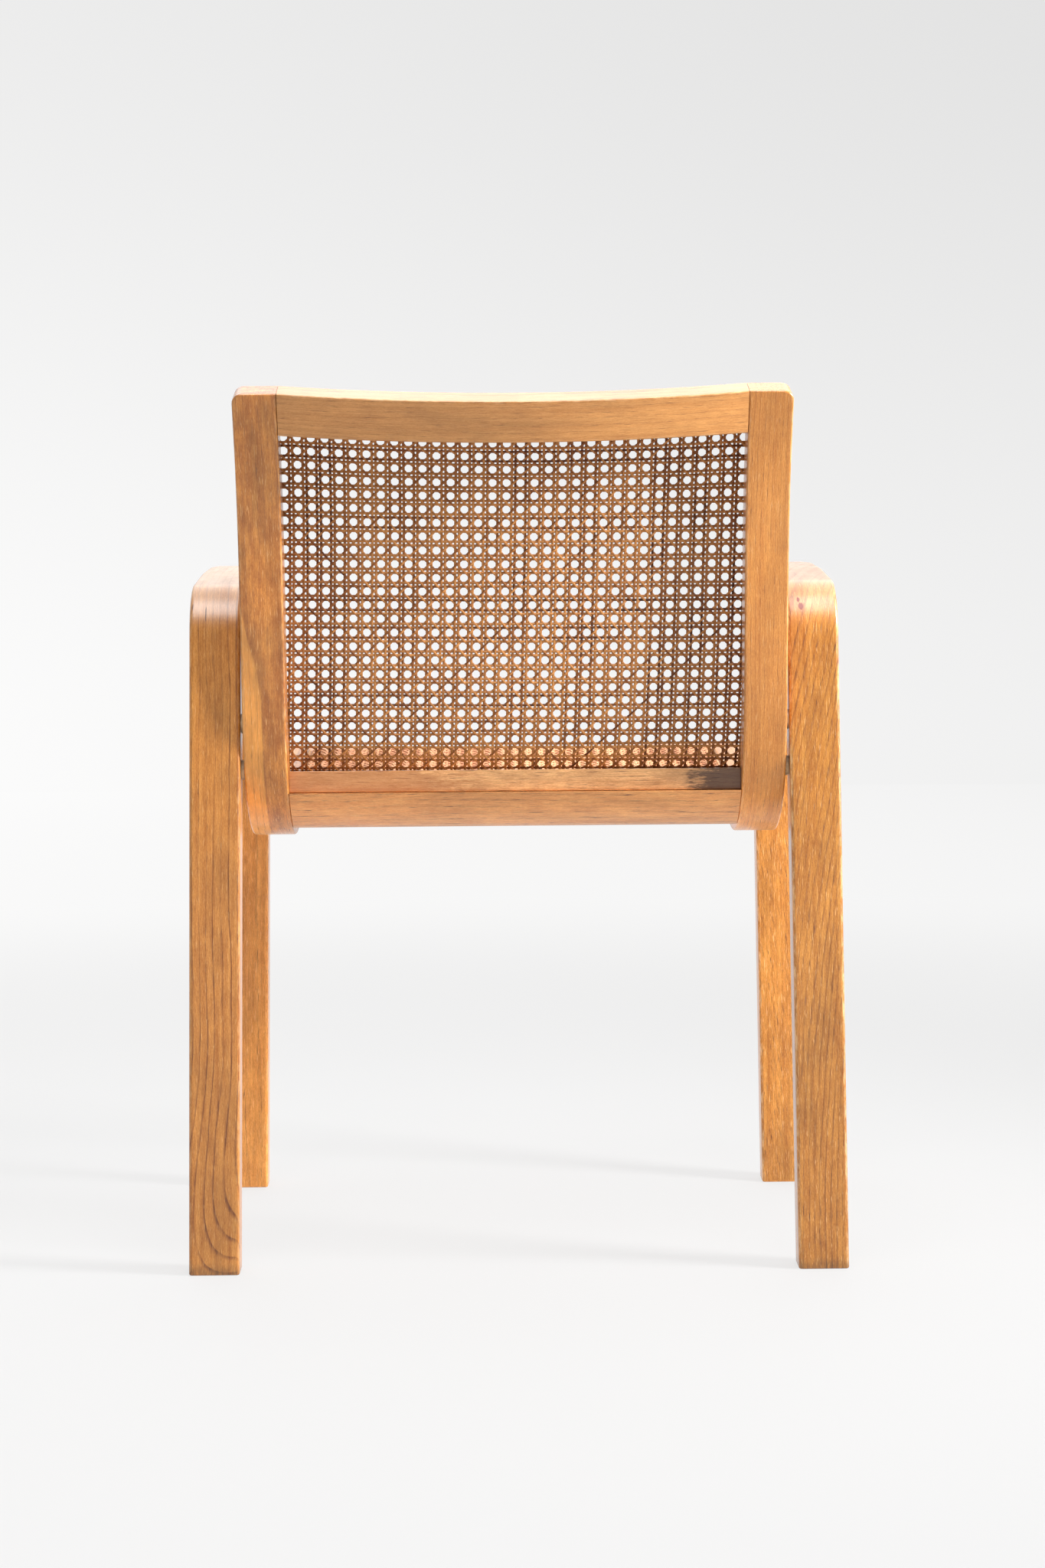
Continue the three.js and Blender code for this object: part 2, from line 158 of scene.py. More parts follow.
def ease(bm, edges, offset, segments=3):
    bmesh.ops.bevel(bm, geom=edges, offset=offset, segments=segments, profile=0.5,
                    affect="EDGES", material=-1, clamp_overlap=True)


# Edges whose two ends both pass a test of their coordinates
def edgesWhere(bm, test):
    return [edge for edge in bm.edges if all(test(*vert.co) for vert in edge.verts)]


def near(value, wanted):
    return abs(value - wanted) < 1e-5


# Edges that run along x
def lengthwise(edges):
    return [edge for edge in edges if not near(edge.verts[0].co.x, edge.verts[1].co.x)]


def cutThrough(bm, place, normal, clearOuter=False):
    bmesh.ops.bisect_plane(bm, geom=[*bm.verts, *bm.edges, *bm.faces], dist=1e-7,
                           plane_co=place, plane_no=normal, clear_outer=clearOuter)


def crossCut(bm, places):
    for place in places:
        cutThrough(bm, (place, 0, 0), (1, 0, 0))


# Materials find a point by where it was in the straight piece
def markGrain(bm, placeOf):
    grain = bm.verts.layers.float_vector.new("grain")
    for vert in bm.verts:
        vert[grain] = placeOf(vert.co)


# A turned form round the y axis, from (radius, y) stops
def turnOnLathe(stops, steps):
    bm = bmesh.new()
    verts = [bm.verts.new((radius, along, 0)) for radius, along in stops]
    edges = [bm.edges.new(pair) for pair in zip(verts, verts[1:])]
    bmesh.ops.spin(bm, geom=[*verts, *edges], cent=(0, 0, 0), axis=(0, 1, 0),
                   angle=math.tau, steps=steps, use_merge=True)
    bmesh.ops.remove_doubles(bm, verts=bm.verts, dist=1e-6)
    bmesh.ops.recalc_face_normals(bm, faces=bm.faces)
    return bm


def meshFrom(bm, name):
    mesh = bpy.data.meshes.new(name)
    bm.to_mesh(mesh)
    bm.free()
    return mesh


# Holes are bored while a strip is still straight
def bore(bm, bits):
    blank = bpy.data.objects.new("blank", meshFrom(bm, "blank"))
    scene.collection.objects.link(blank)
    tools = []
    for bit in bits:
        tool = bpy.data.objects.new("bit", meshFrom(bit, "bit"))
        scene.collection.objects.link(tool)
        hole = blank.modifiers.new("hole", "BOOLEAN")
        hole.object, hole.operation, hole.solver = tool, "DIFFERENCE", "EXACT"
        tools.append(tool)
    bpy.context.view_layer.update()
    bored = bpy.data.meshes.new_from_object(blank.evaluated_get(bpy.context.evaluated_depsgraph_get()))
    result = bmesh.new()
    result.from_mesh(bored)
    bpy.data.meshes.remove(bored)
    for spent in [blank, *tools]:
        bpy.data.meshes.remove(spent.data)
    return result


def bendStrip(bm, piece, side):
    markGrain(bm, lambda spot: spot)
    for vert in bm.verts:
        along, across, inward = vert.co
        forward, up = placeOn(piece, along, inward)
        lean = piece["toeOut"] * forward - piece["splay"] * up
        vert.co = (side * (piece["spacing"] + lean + across), rearFace - forward, up)
    bmesh.ops.recalc_face_normals(bm, faces=bm.faces)


# A bar across the chair: x across, y a distance along the members, z inward from their rear face
def layAcross(bm, sinkAt, grainFrom):
    markGrain(bm, lambda spot: spot - Vector(grainFrom))
    for vert in bm.verts:
        across, distance, inward = vert.co
        forward, up = placeOn(member, distance, inward - sinkAt(across))
        vert.co = (across, rearFace - forward, up)
    bmesh.ops.recalc_face_normals(bm, faces=bm.faces)


def addPiece(name, bm, material, nodes, sharpFrom=50, weighted=True):
    mesh = meshFrom(bm, name)
    mesh.shade_smooth()
    mesh.set_sharp_from_angle(angle=math.radians(sharpFrom))
    mesh.materials.append(material)
    piece = bpy.data.objects.new(name, mesh)
    scene.collection.objects.link(piece)
    if weighted:
        shade = piece.modifiers.new("even shading", "WEIGHTED_NORMAL")
        shade.keep_sharp = True
    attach(piece, "root")
    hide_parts(*nodes)


# Node helpers


# A socket takes a link or a plain value
def fill(tree, node, sockets):
    for name, value in sockets.items():
        if isinstance(value, bpy.types.NodeSocket):
            tree.links.new(value, node.inputs[name])
        else:
            node.inputs[name].default_value = value


def addNode(tree, kind, sockets, **settings):
    node = tree.nodes.new("ShaderNode" + kind)
    for setting, value in settings.items():
        setattr(node, setting, value)
    fill(tree, node, sockets)
    return node


def reckon(tree, operation, first, second=0.0, third=0.0, clamp=False):
    sockets = {0: first, 1: second, 2: third}
    return addNode(tree, "Math", sockets, operation=operation, use_clamp=clamp).outputs[0]


def plus(tree, first, second):
    return reckon(tree, "ADD", first, second)


def minus(tree, first, second):
    return reckon(tree, "SUBTRACT", first, second)


def times(tree, first, second, clamp=False):
    return reckon(tree, "MULTIPLY", first, second, clamp=clamp)


def timesPlus(tree, first, second, third):
    return reckon(tree, "MULTIPLY_ADD", first, second, third)


# Noise lies about a half; this moves it to lie about nothing
def centred(tree, noise):
    return minus(tree, noise, 0.5)


def diagonal(tree, first, second):
    return reckon(tree, "SQRT", plus(tree, times(tree, first, first), times(tree, second, second)))


# How far a place is from the nearer side of a strip of this size
def fromSides(tree, place, size):
    return reckon(tree, "MINIMUM", place, minus(tree, size, place))


# Sockets 0, 6 and 7 of a Mix node are its factor and its two colours
def blendColour(tree, factor, under, over, kind="MIX"):
    sockets = {0: factor, 6: under, 7: over}
    return addNode(tree, "Mix", sockets, data_type="RGBA", blend_type=kind).outputs[2]


# Eases a value from one range into another
def spread(tree, value, fromLow, fromHigh, low=0.0, high=1.0):
    sockets = {"Value": value, "From Min": fromLow, "From Max": fromHigh, "To Min": low, "To Max": high}
    return addNode(tree, "MapRange", sockets, interpolation_type="SMOOTHSTEP").outputs[0]


def stretched(tree, vector, scale, detail=3.0, roughness=0.55, shift=(0, 0, 0)):
    place = addNode(tree, "Mapping", {"Vector": vector, "Location": shift, "Scale": scale}).outputs[0]
    sockets = {"Vector": place, "Scale": 1.0, "Detail": detail, "Roughness": roughness}
    return addNode(tree, "TexNoise", sockets).outputs[0]


def addBump(tree, height, strength, distance):
    sockets = {"Height": height, "Strength": strength, "Distance": distance}
    return addNode(tree, "Bump", sockets).outputs[0]


def readGrain(tree):
    return addNode(tree, "Attribute", {}, attribute_name="grain").outputs["Vector"]


def readPlace(tree):
    return addNode(tree, "TexCoord", {}).outputs["Object"]


def split(tree, vector):
    return addNode(tree, "SeparateXYZ", {"Vector": vector}).outputs


def newMaterial(name):
    material = bpy.data.materials.new(name)
    material.use_nodes = True
    tree = material.node_tree
    return material, tree, tree.nodes["Principled BSDF"]


# Lacquered ash. Reads the grain attribute: x along the strip, y over its width, z through its plies.
# Pairs of places are where a change begins and ends; two more numbers are its values there
ashBasics = {
    "pale": (212, 152, 92), "middle": (184, 120, 62), "dark": (138, 78, 34), "olive": (158, 112, 52),
    "fleck": (232, 180, 112), "worn": (236, 196, 144), "footDarkColour": (104, 72, 40), "paintedArmHighlight": (204, 172, 144),
    "spacing": 0.0042, "lineShare": 0.34, "lineDepth": 0.45, "lineGaps": 0.25,
    "pith": (0.09, -0.02), "lean": (0.0, 0.0), "sweep": 0.0, "sweepFrom": 0.24, "flatter": 0.0,
    "warp": 0.004, "seed": 0.0, "patches": 0.14, "streaks": 0.8, "pores": 0.6, "flecks": 0.35,
    "width": 0.046, "thickness": 0.032, "wear": 0.3, "rubbed": (0.0006, 0.0034),
    "grime": 0.0, "sole": (0.001, 0.013), "roughness": 0.40, "bump": 0.35,
    "ply": 0.0, "plyShift": (3.7, 0.013), "plyTone": (0.93, 0.14), "skin": (0.0012, 0.0018),
    "glueLine": (0.00006, 0.0003, 0.78, 1.0), "calmEdge": (0.0003, 0.0012, 0.2, 1.0),
    "frontLegGain": None, "frontLegGainFrom": (1.1, 1.35), "calmLeg": (0.95, 1.25, 1.0, 0.3),
    "armFrom": (0.572, 0.665), "armTo": (1.1, 1.22),
    "band": None, "bandBlur": 0.0009, "faded": None, "marks": [], "marksFrom": None,
}
# Scale along and across the strip, detail, roughness, shift by the seed, fixed shift
ashNoises = {
    "wave": (3.2, 26, 2.0, 0.5, (1, 1, 0), (0, 0, 0)),
    "ripple": (18, 80, 3.0, 0.6, (0, 1, 1), (0, 0, 0)),
    "strength": (2.5, 90, 3.0, 0.6, (1, 0, 1), (0, 0, 0)),
    "broken": (26, 500, 3.0, 0.7, (0, 0, 1), (0, 0, 0)),
    "dashes": (62, 1300, 2.0, 0.6, (1, 0, 0), (0, 0, 0)),
    "flecks": (75, 850, 2.0, 0.6, (0, 1, 0), (0, 0, 4)),
    "streak": (5, 260, 5.0, 0.66, (1, 1, 0), (0, 0, 0)),
    "fibre": (110, 2400, 2.0, 0.7, (0, 1, 0), (0, 0, 0)),
    "patch": (10, 34, 3.0, 0.55, (1, 0, 1), (0, 0, 0)),
    "blotch": (34, 90, 4.0, 0.65, (1, 0, 1), (0, 4, 0)),
    "speckle": (420, 1500, 2.0, 0.7, (1, 0, 0), (0, 7, 0)),
    "chips": (70, 300, 4.0, 0.7, (0, 1, 0), (0, 0, 0)),
}


def ashWood(name, **changes):
    look = {**ashBasics, **changes}
    material, tree, shader = newMaterial(name)
    grain = readGrain(tree)
    spot = split(tree, grain)
    place = grain
    if look["ply"]:
        # Each ply has its own tone and shows another stretch of the figure
        layer = reckon(tree, "FLOOR", reckon(tree, "DIVIDE", spot["Z"], look["ply"]))
        plyTone = addNode(tree, "TexWhiteNoise", {"W": plus(tree, layer, look["seed"])},
                          noise_dimensions="1D").outputs["Value"]
        along, across = [times(tree, layer, step) for step in look["plyShift"]]
        shift = addNode(tree, "CombineXYZ", {"X": along, "Y": across}).outputs[0]
        place = addNode(tree, "VectorMath", {0: grain, 1: shift}).outputs[0]
    moved = split(tree, place)
    noise = {}
    for kind, (along, across, detail, roughness, seeded, fixed) in ashNoises.items():
        shift = [look["seed"] * share + step for share, step in zip(seeded, fixed)]
        noise[kind] = stretched(tree, place, (along, across, across), detail, roughness, shift)

    # Year rings round a pith beside the strip, bent by slow noise
    bent = timesPlus(tree, centred(tree, noise["wave"]), 4 * look["warp"],
                     times(tree, centred(tree, noise["ripple"]), 0.8 * look["warp"]))
    short = reckon(tree, "MAXIMUM", minus(tree, look["sweepFrom"], moved["X"]), 0.0)
    swept = times(tree, times(tree, short, short), look["sweep"])
    sideways = timesPlus(tree, moved["X"], look["lean"][0], moved["Y"])
    for part in (swept, bent, look["pith"][0]):
        sideways = plus(tree, sideways, part)
    deep = timesPlus(tree, moved["X"], look["lean"][1], moved["Z"])
    deep = timesPlus(tree, swept, look["flatter"], plus(tree, deep, look["pith"][1]))
    radius = diagonal(tree, sideways, deep)
    year = reckon(tree, "FRACT", reckon(tree, "DIVIDE", radius, look["spacing"]))
    early = reckon(tree, "MAXIMUM", spread(tree, year, 0.0, look["lineShare"], 1.0, 0.0),
                   spread(tree, year, 0.94, 1.0))
    lines = times(tree, early, spread(tree, noise["strength"], 0.34, 0.62, look["lineGaps"], 1.0))
    lines = times(tree, lines, spread(tree, noise["broken"], 0.3, 0.6, 0.4, 1.0))
    if look["frontLegGain"]:
        lines = times(tree, lines, spread(tree, spot["X"], *look["calmLeg"]))
    if look["ply"]:
        fromSide = fromSides(tree, spot["Y"], look["width"])
        lines = times(tree, lines, spread(tree, fromSide, *look["calmEdge"]))

    # Open pores are short dark dashes, closer together in the early wood; flecks are pale ones
    pores = times(tree, spread(tree, noise["dashes"], 0.55, 0.68), plus(tree, early, 0.35))
    pores = times(tree, pores, look["pores"], clamp=True)
    flecks = times(tree, spread(tree, noise["flecks"], 0.58, 0.72), look["flecks"])

    tone = timesPlus(tree, centred(tree, noise["streak"]), 2.6 * look["streaks"], 0.5)
    for kind, share in (("fibre", 1.5), ("speckle", 1.4), ("blotch", 9 * look["patches"])):
        tone = timesPlus(tree, centred(tree, noise[kind]), share, tone)
    tone = reckon(tree, "ADD", tone, 0.0, clamp=True)
    colour = blendColour(tree, tone, paint(*look["middle"]), paint(*look["pale"]))
    if look["band"]:
        # A band of paler sapwood along one edge, which runs out towards the far end
        low, high, edge, width, bandColour = look["band"]
        run = spread(tree, spot["X"], low, high, edge, width)
        wobble = timesPlus(tree, centred(tree, noise["blotch"]), 0.002, spot["Y"])
        inBand = spread(tree, minus(tree, wobble, run), -look["bandBlur"], look["bandBlur"])
        colour = blendColour(tree, times(tree, inBand, 0.8), colour, paint(*bandColour))
    olive = spread(tree, noise["patch"], 0.52, 0.78, 0.0, 0.28)
    colour = blendColour(tree, olive, colour, paint(*look["olive"]))
    drawn = times(tree, lines, look["lineDepth"], clamp=True)
    colour = blendColour(tree, drawn, colour, paint(*look["dark"]))
    colour = blendColour(tree, pores, colour, paint(*[0.7 * part for part in look["dark"]]))
    colour = blendColour(tree, flecks, colour, paint(*look["fleck"]))

    # Brightness varies by slow patches; the arms get a painted highlight, the front legs are made brighter
    # and the undersides of the members' bends get painted bounce light
    uneven = 0.6 * look["patches"]
    bright = spread(tree, noise["patch"], 0.3, 0.7, 1 + look["patches"], 1 - look["patches"])
    bright = times(tree, bright, spread(tree, noise["blotch"], 0.25, 0.75, 1 - uneven, 1 + uneven))
    bright = times(tree, bright, spread(tree, noise["fibre"], 0.3, 0.7, 0.94, 1.05))
    if look["frontLegGain"]:
        # The arms' bends are painted a pale cream, a painted highlight where the lacquer's gloss shows,
        # and the front legs are made brighter
        paintedArmHighlight = times(tree, spread(tree, spot["X"], *look["armFrom"]),
                        spread(tree, spot["X"], *look["armTo"], 1.0, 0.0))
        paintedArmHighlight = times(tree, paintedArmHighlight, spread(tree, noise["blotch"], 0.2, 0.7, 0.45, 0.75))
        colour = blendColour(tree, paintedArmHighlight, colour, paint(*look["paintedArmHighlight"]))
        # The front legs are made brighter by this factor
        bright = times(tree, bright, spread(tree, spot["X"], *look["frontLegGainFrom"], 1.0, look["frontLegGain"]))
    if look["faded"]:
        # The underside of a bend is painted brighter, painted bounce light from the floor
        low, middle, high, amount = look["faded"]
        bright = times(tree, bright, spread(tree, spot["X"], low, middle, 1.0, amount))
        bright = times(tree, bright, spread(tree, spot["X"], middle, high, 1.0, 1 / amount))
    if look["ply"]:
        # Plies show on the edges of a strip only: tone by ply, and a thin glue line between
        ridge = reckon(tree, "PINGPONG", spot["Z"], look["ply"] / 2)
        glue = spread(tree, ridge, *look["glueLine"])
        low, high = look["skin"]
        farLow, farHigh = look["thickness"] - high, look["thickness"] - low
        sided = times(tree, spread(tree, spot["Z"], low, high),
                      spread(tree, spot["Z"], farLow, farHigh, 1.0, 0.0))
        bright = times(tree, bright, timesPlus(tree, minus(tree, glue, 1.0), sided, 1.0))
        least, more = look["plyTone"]
        bright = times(tree, bright, timesPlus(tree, plyTone, more, least))

    # Long edges are rubbed pale, with small chips
    fromEdge = reckon(tree, "MAXIMUM", fromSides(tree, spot["Y"], look["width"]),
                      fromSides(tree, spot["Z"], look["thickness"]))
    rubbed = times(tree, spread(tree, fromEdge, *look["rubbed"], 1.0, 0.0),
                   spread(tree, noise["chips"], 0.42, 0.66))
    colour = blendColour(tree, times(tree, rubbed, look["wear"]), colour, paint(*look["worn"]))
    tint = addNode(tree, "CombineColor", {0: bright, 1: bright, 2: bright}).outputs[0]
    colour = blendColour(tree, 1.0, colour, tint, "MULTIPLY")

    # Small knots, dents and drying cracks, and on the lower back rail painted shade: (along, across, half
    # length, half width, colour, share)
    for along, across, halfLength, halfWidth, markColour, share in look["marks"]:
        alongMark = reckon(tree, "DIVIDE", minus(tree, spot["X"], along), halfLength)
        acrossMark = reckon(tree, "DIVIDE", minus(tree, spot["Y"], across), halfWidth)
        reach = timesPlus(tree, centred(tree, noise["chips"]), 1.6, diagonal(tree, alongMark, acrossMark))
        inMark = spread(tree, reach, 0.6, 1.05, share, 0.0)
        # Marks of painted shade can be kept to a range of depths
        if look["marksFrom"]:
            inMark = times(tree, inMark, spread(tree, spot["Z"], *look["marksFrom"]))
        colour = blendColour(tree, inMark, colour, paint(*markColour))

    # The sole at the start of a strip, under the rear leg, is darker
    sole = times(tree, spread(tree, spot["X"], *look["sole"], 1.0, 0.0),
                 spread(tree, noise["chips"], 0.35, 0.6, 0.2, 0.8))
    colour = blendColour(tree, times(tree, sole, look["grime"]), colour, paint(*look["footDarkColour"]))
    rough = spread(tree, noise["patch"], 0.25, 0.75, look["roughness"] - 0.05, look["roughness"] + 0.09)
    rough = timesPlus(tree, lines, 0.10, rough)
    height = timesPlus(tree, pores, -0.9, times(tree, noise["fibre"], 0.3))
    height = timesPlus(tree, lines, -0.3, timesPlus(tree, flecks, 0.5, height))
    fill(tree, shader, {
        "Base Color": colour, "Roughness": timesPlus(tree, rubbed, 0.12, rough),
        "Normal": addBump(tree, height, look["bump"], 0.0005),
        "Specular IOR Level": 0.2, "Coat Weight": 1.0, "Coat Roughness": 0.26,
    })
    return material


# Split cane: x along the strand, y over its width, z the strand's own number from 0 to 1.
# It is darker at a strand's rim, and painted shade of the frame darkens it towards the sides and the top
caneBasics = {
    "ownFigure": 40.0, "rim": (0.0006, 0.00115, 0.0, 0.45), "paintedFrameShade": (92, 40, 4), "paintedFrameShadeShare": 0.28,
    "sidesFrom": (0.07, 0.20), "topFrom": (0.66, 0.74),
}


def splitCane(name, pale, middle, dark):
    look = caneBasics
    pale, middle, dark = paint(*pale), paint(*middle), paint(*dark)
    material, tree, shader = newMaterial(name)
    spot = split(tree, readGrain(tree))
    own = times(tree, spot["Z"], look["ownFigure"])
    place = addNode(tree, "CombineXYZ", {"X": spot["X"], "Y": spot["Y"], "Z": own}).outputs[0]
    streak = stretched(tree, place, (30, 1700, 1), 3.0, 0.6)
    length = stretched(tree, place, (11, 0, 1), 2.0, 0.5, (3, 0, 0))
    speck = stretched(tree, place, (160, 600, 1), 2.0, 0.6, (0, 5, 0))
    tone = timesPlus(tree, streak, 0.55, times(tree, length, 0.45))
    tone = plus(tree, tone, timesPlus(tree, spot["Z"], 0.34, -0.17))
    colour = blendColour(tree, spread(tree, tone, 0.36, 0.62), middle, pale)
    rim = spread(tree, reckon(tree, "ABSOLUTE", spot["Y"]), *look["rim"])
    for share in (spread(tree, tone, 0.44, 0.26), spread(tree, speck, 0.62, 0.75, 0.0, 0.6), rim):
        colour = blendColour(tree, share, colour, dark)
    # Painted shade of the frame, darker towards the sides and the top
    where = split(tree, readPlace(tree))
    sides = spread(tree, reckon(tree, "ABSOLUTE", where["X"]), *look["sidesFrom"])
    paintedFrameShade = reckon(tree, "MAXIMUM", sides, spread(tree, where["Z"], *look["topFrom"]))
    colour = blendColour(tree, times(tree, paintedFrameShade, look["paintedFrameShadeShare"]), colour, paint(*look["paintedFrameShade"]))
    fill(tree, shader, {
        "Base Color": colour, "Roughness": spread(tree, streak, 0.2, 0.8, 0.40, 0.62),
        "Normal": addBump(tree, timesPlus(tree, streak, 0.6, speck), 0.3, 0.0003),
        "Specular IOR Level": 0.25,
    })
    return material


# Zinc, brass and nylon fastenings, on object coordinates
def fastening(name, colour, worn, metallic, roughness):
    material, tree, shader = newMaterial(name)
    place = readPlace(tree)
    cloud = stretched(tree, place, (140, 140, 140), 4.0, 0.6)
    scratch = stretched(tree, place, (900, 900, 90), 2.0, 0.6)
    fill(tree, shader, {
        "Base Color": blendColour(tree, spread(tree, cloud, 0.35, 0.7), paint(*colour), paint(*worn)),
        "Roughness": spread(tree, cloud, 0.2, 0.8, roughness - 0.1, roughness + 0.12),
        "Normal": addBump(tree, scratch, 0.15, 0.0002), "Metallic": metallic,
    })
    return material


def paleBeech(name, pale, flecked):
    material, tree, shader = newMaterial(name)
    fleck = stretched(tree, readPlace(tree), (90, 700, 700), 3.0, 0.6)
    fill(tree, shader, {
        "Base Color": blendColour(tree, spread(tree, fleck, 0.4, 0.65), paint(*pale), paint(*flecked)),
        "Roughness": 0.62, "Normal": addBump(tree, fleck, 0.2, 0.0002),
    })
    return material


# What each strip shows of its own
knotRed, crackDark = (112, 22, 0), (64, 34, 14)
loopLooks = {
    "left": dict(seed=3.1, spacing=0.0066, lineShare=0.26, lineDepth=1.0, pith=(0.052, -0.03),
                 lean=(0.0, 0.012), sweep=-1.1, flatter=0.9, warp=0.0036, patches=0.10, frontLegGain=1.5,
                 pale=(203, 137, 62), middle=(166, 97, 29), dark=(112, 54, 14), olive=(160, 104, 40),
                 marks=[(0.600, 0.0312, 0.009, 0.0005, crackDark, 0.9),
                        (0.607, 0.0432, 0.004, 0.0005, crackDark, 0.8)]),
    "right": dict(seed=8.4, spacing=0.0051, lineShare=0.4, lineDepth=0.74, lineGaps=0.4,
                  pith=(0.16, -0.02), lean=(-0.264, 0.0), sweep=-0.22, sweepFrom=0.6, warp=0.0030,
                  patches=0.10, wear=0.9, pores=0.7, flecks=0.6, bump=0.6,
                  pale=(204, 139, 60), middle=(161, 93, 25), dark=(110, 54, 12), olive=(150, 94, 30),
                  # The right arm's painted highlight is darker, as the side light already falls on it
                  paintedArmHighlight=(182, 142, 112), frontLegGain=1.4,
                  marks=[(0.603, 0.0125, 0.0044, 0.0026, knotRed, 0.9),
                         (0.610, 0.0106, 0.0032, 0.0016, knotRed, 0.9)]),
}
memberLooks = {
    "left": dict(seed=5.6, spacing=0.006, lineShare=0.3, lineDepth=0.4, pith=(0.07, -0.03), patches=0.2,
                 pale=(194, 126, 52), middle=(152, 83, 20), flecks=0.5, streaks=0.7,
                 band=(0.51, 0.625, 0.0215, 0.0405, (214, 143, 60)),
                 marks=[(0.34, 0.006, 0.0012, 0.0022, crackDark, 0.8),
                        (0.365, 0.004, 0.005, 0.0005, crackDark, 0.7),
                        (0.37, 0.0085, 0.003, 0.0005, crackDark, 0.7)]),
    "right": dict(seed=11.2, lineShare=0.3, lineDepth=0.34, pith=(0.2, -0.02), warp=0.003,
                  pale=(216, 147, 68), middle=(184, 108, 36), dark=(146, 74, 18), flecks=0.4,
                  olive=(178, 110, 44), streaks=0.6, patches=0.07),
}
loopWood = {hand: ashWood("loop_wood_" + hand, ply=0.0032, grime=0.8, **look)
            for hand, look in loopLooks.items()}
memberWood = {hand: ashWood("member_wood_" + hand, ply=0.0030, width=member["width"],
                            thickness=member["thickness"], faded=(0.29, 0.37, 0.49, 1.55), **look)
              for hand, look in memberLooks.items()}
# Some pieces' grain isn't measured from their edges, and sizes out of reach keep the rubbing off
unrubbed = dict(width=9, thickness=9, wear=0.0)
railWood = {
    "top": ashWood("rail_wood_top", seed=14.0, width=0.038, thickness=member["thickness"], spacing=0.005,
                   pith=(0.12, 0.0), lineDepth=0.22, patches=0.08, flecks=0.12,
                   pale=(201, 141, 76), middle=(179, 117, 56)),
    # The first mark is a painted shadow of the right stile over the rail's end, the second darkens the
    # facet towards its left end; both lie on the recessed rear facet alone
    "lower": ashWood("rail_wood_lower", **unrubbed, seed=17.0, spacing=0.0035, lineDepth=0.35,
                     streaks=0.5, pores=0.9,
                     pale=(228, 172, 112), middle=(192, 130, 70), olive=(184, 122, 64),
                     marksFrom=(rearFace - 0.032, rearFace - 0.028),
                     marks=[(0.0, 0.447, 0.052, 0.045, (52, 20, 0), 0.85),
                            (0.38, 0.447, 0.14, 0.05, (166, 98, 44), 0.6)]),
    # The rear seat rail is given a paler tone, painted light for the bounce from the floor onto its
    # downward-facing face
    "rear": ashWood("rail_wood_rear", **unrubbed, seed=21.0, spacing=0.007, lineDepth=0.2,
                    streaks=0.5, pores=0.9, patches=0.10,
                    pale=(238, 168, 94), middle=(208, 128, 62), olive=(198, 126, 66)),
    "front": ashWood("rail_wood_front", seed=25.0, width=0.04, thickness=member["thickness"],
                     spacing=0.005),
}
spacerWood = ashWood("spacer_wood", **unrubbed, seed=31.0, spacing=0.0022)
# The seat shows the polished side of its cane, the back its duller side from behind. The seat cane's paler
# colour is partly painted light, for the bright light and gloss on its top
backCane = splitCane("back_cane_look", (196, 134, 74), (140, 82, 40), (58, 28, 10))
seatCane = splitCane("seat_cane_look", (240, 182, 136), (220, 154, 110), (170, 104, 64))
splineWood = splitCane("spline", (200, 150, 98), (164, 112, 66), (104, 66, 36))
zincPlate = fastening("zinc_plate", (168, 169, 170), (120, 118, 112), 1.0, 0.38)
brassTurned = fastening("brass", (184, 156, 94), (120, 96, 52), 1.0, 0.42)
washerNylon = fastening("washer_nylon", (206, 176, 136), (180, 146, 104), 0.0, 0.55)
beech = paleBeech("beech", (214, 184, 140), (190, 150, 104))
print("finishes mixed")

# Side loops, with bores and sunk seats for their bolts
boltPlan = {
    "bore": 0.0033, "sinkRadius": 0.0073, "sinkDepth": 0.0037, "sinkEdge": 0.0004,
    "bitEnds": (-0.01, 0.06), "steps": 40,
    "places": {"rear_lower": (0.458, 0.018), "rear_upper": (0.500, 0.011), "front": (-0.4584, 0.020)},
}


def boltBit(along, inward):
    floor = sideLoop["width"] - boltPlan["sinkDepth"]
    start, end = boltPlan["bitEnds"]
    hole, sink = boltPlan["bore"], boltPlan["sinkRadius"]
    stops = [(0, start), (hole, start), (hole, floor), (sink, floor), (sink, end), (0, end)]
    bit = turnOnLathe(stops, boltPlan["steps"])
    bmesh.ops.translate(bit, verts=bit.verts, vec=(along, 0, inward))
    return bit


def makeLoop(hand, side):
    width, thickness, length = sideLoop["width"], sideLoop["thickness"], sideLoop["length"]
    bm = blankBar((0, 0, 0), (length, width, thickness))
    ease(bm, lengthwise(bm.edges), sideLoop["edge"])
    for end in (0, length):
        ease(bm, edgesWhere(bm, lambda x, y, z: near(x, end)), sideLoop["endEdge"], 2)
    spots = [(along % length, inward) for along, inward in boltPlan["places"].values()]
    bm = bore(bm, [boltBit(*spot) for spot in spots])

    def onSink(edge):
        x, z = edge.verts[0].co.x, edge.verts[0].co.z
        return any(abs(math.hypot(x - along, z - inward) - boltPlan["sinkRadius"]) < 1e-4
                   for along, inward in spots)

    ease(bm, [edge for edge in edgesWhere(bm, lambda x, y, z: near(y, width)) if onSink(edge)],
         boltPlan["sinkEdge"], 2)
    crossCut(bm, bendStops(sideLoop, sideLoop["facet"]))
    bendStrip(bm, sideLoop, side)
    addPiece("loop_" + hand, bm, loopWood[hand], ["side_loop_" + hand])


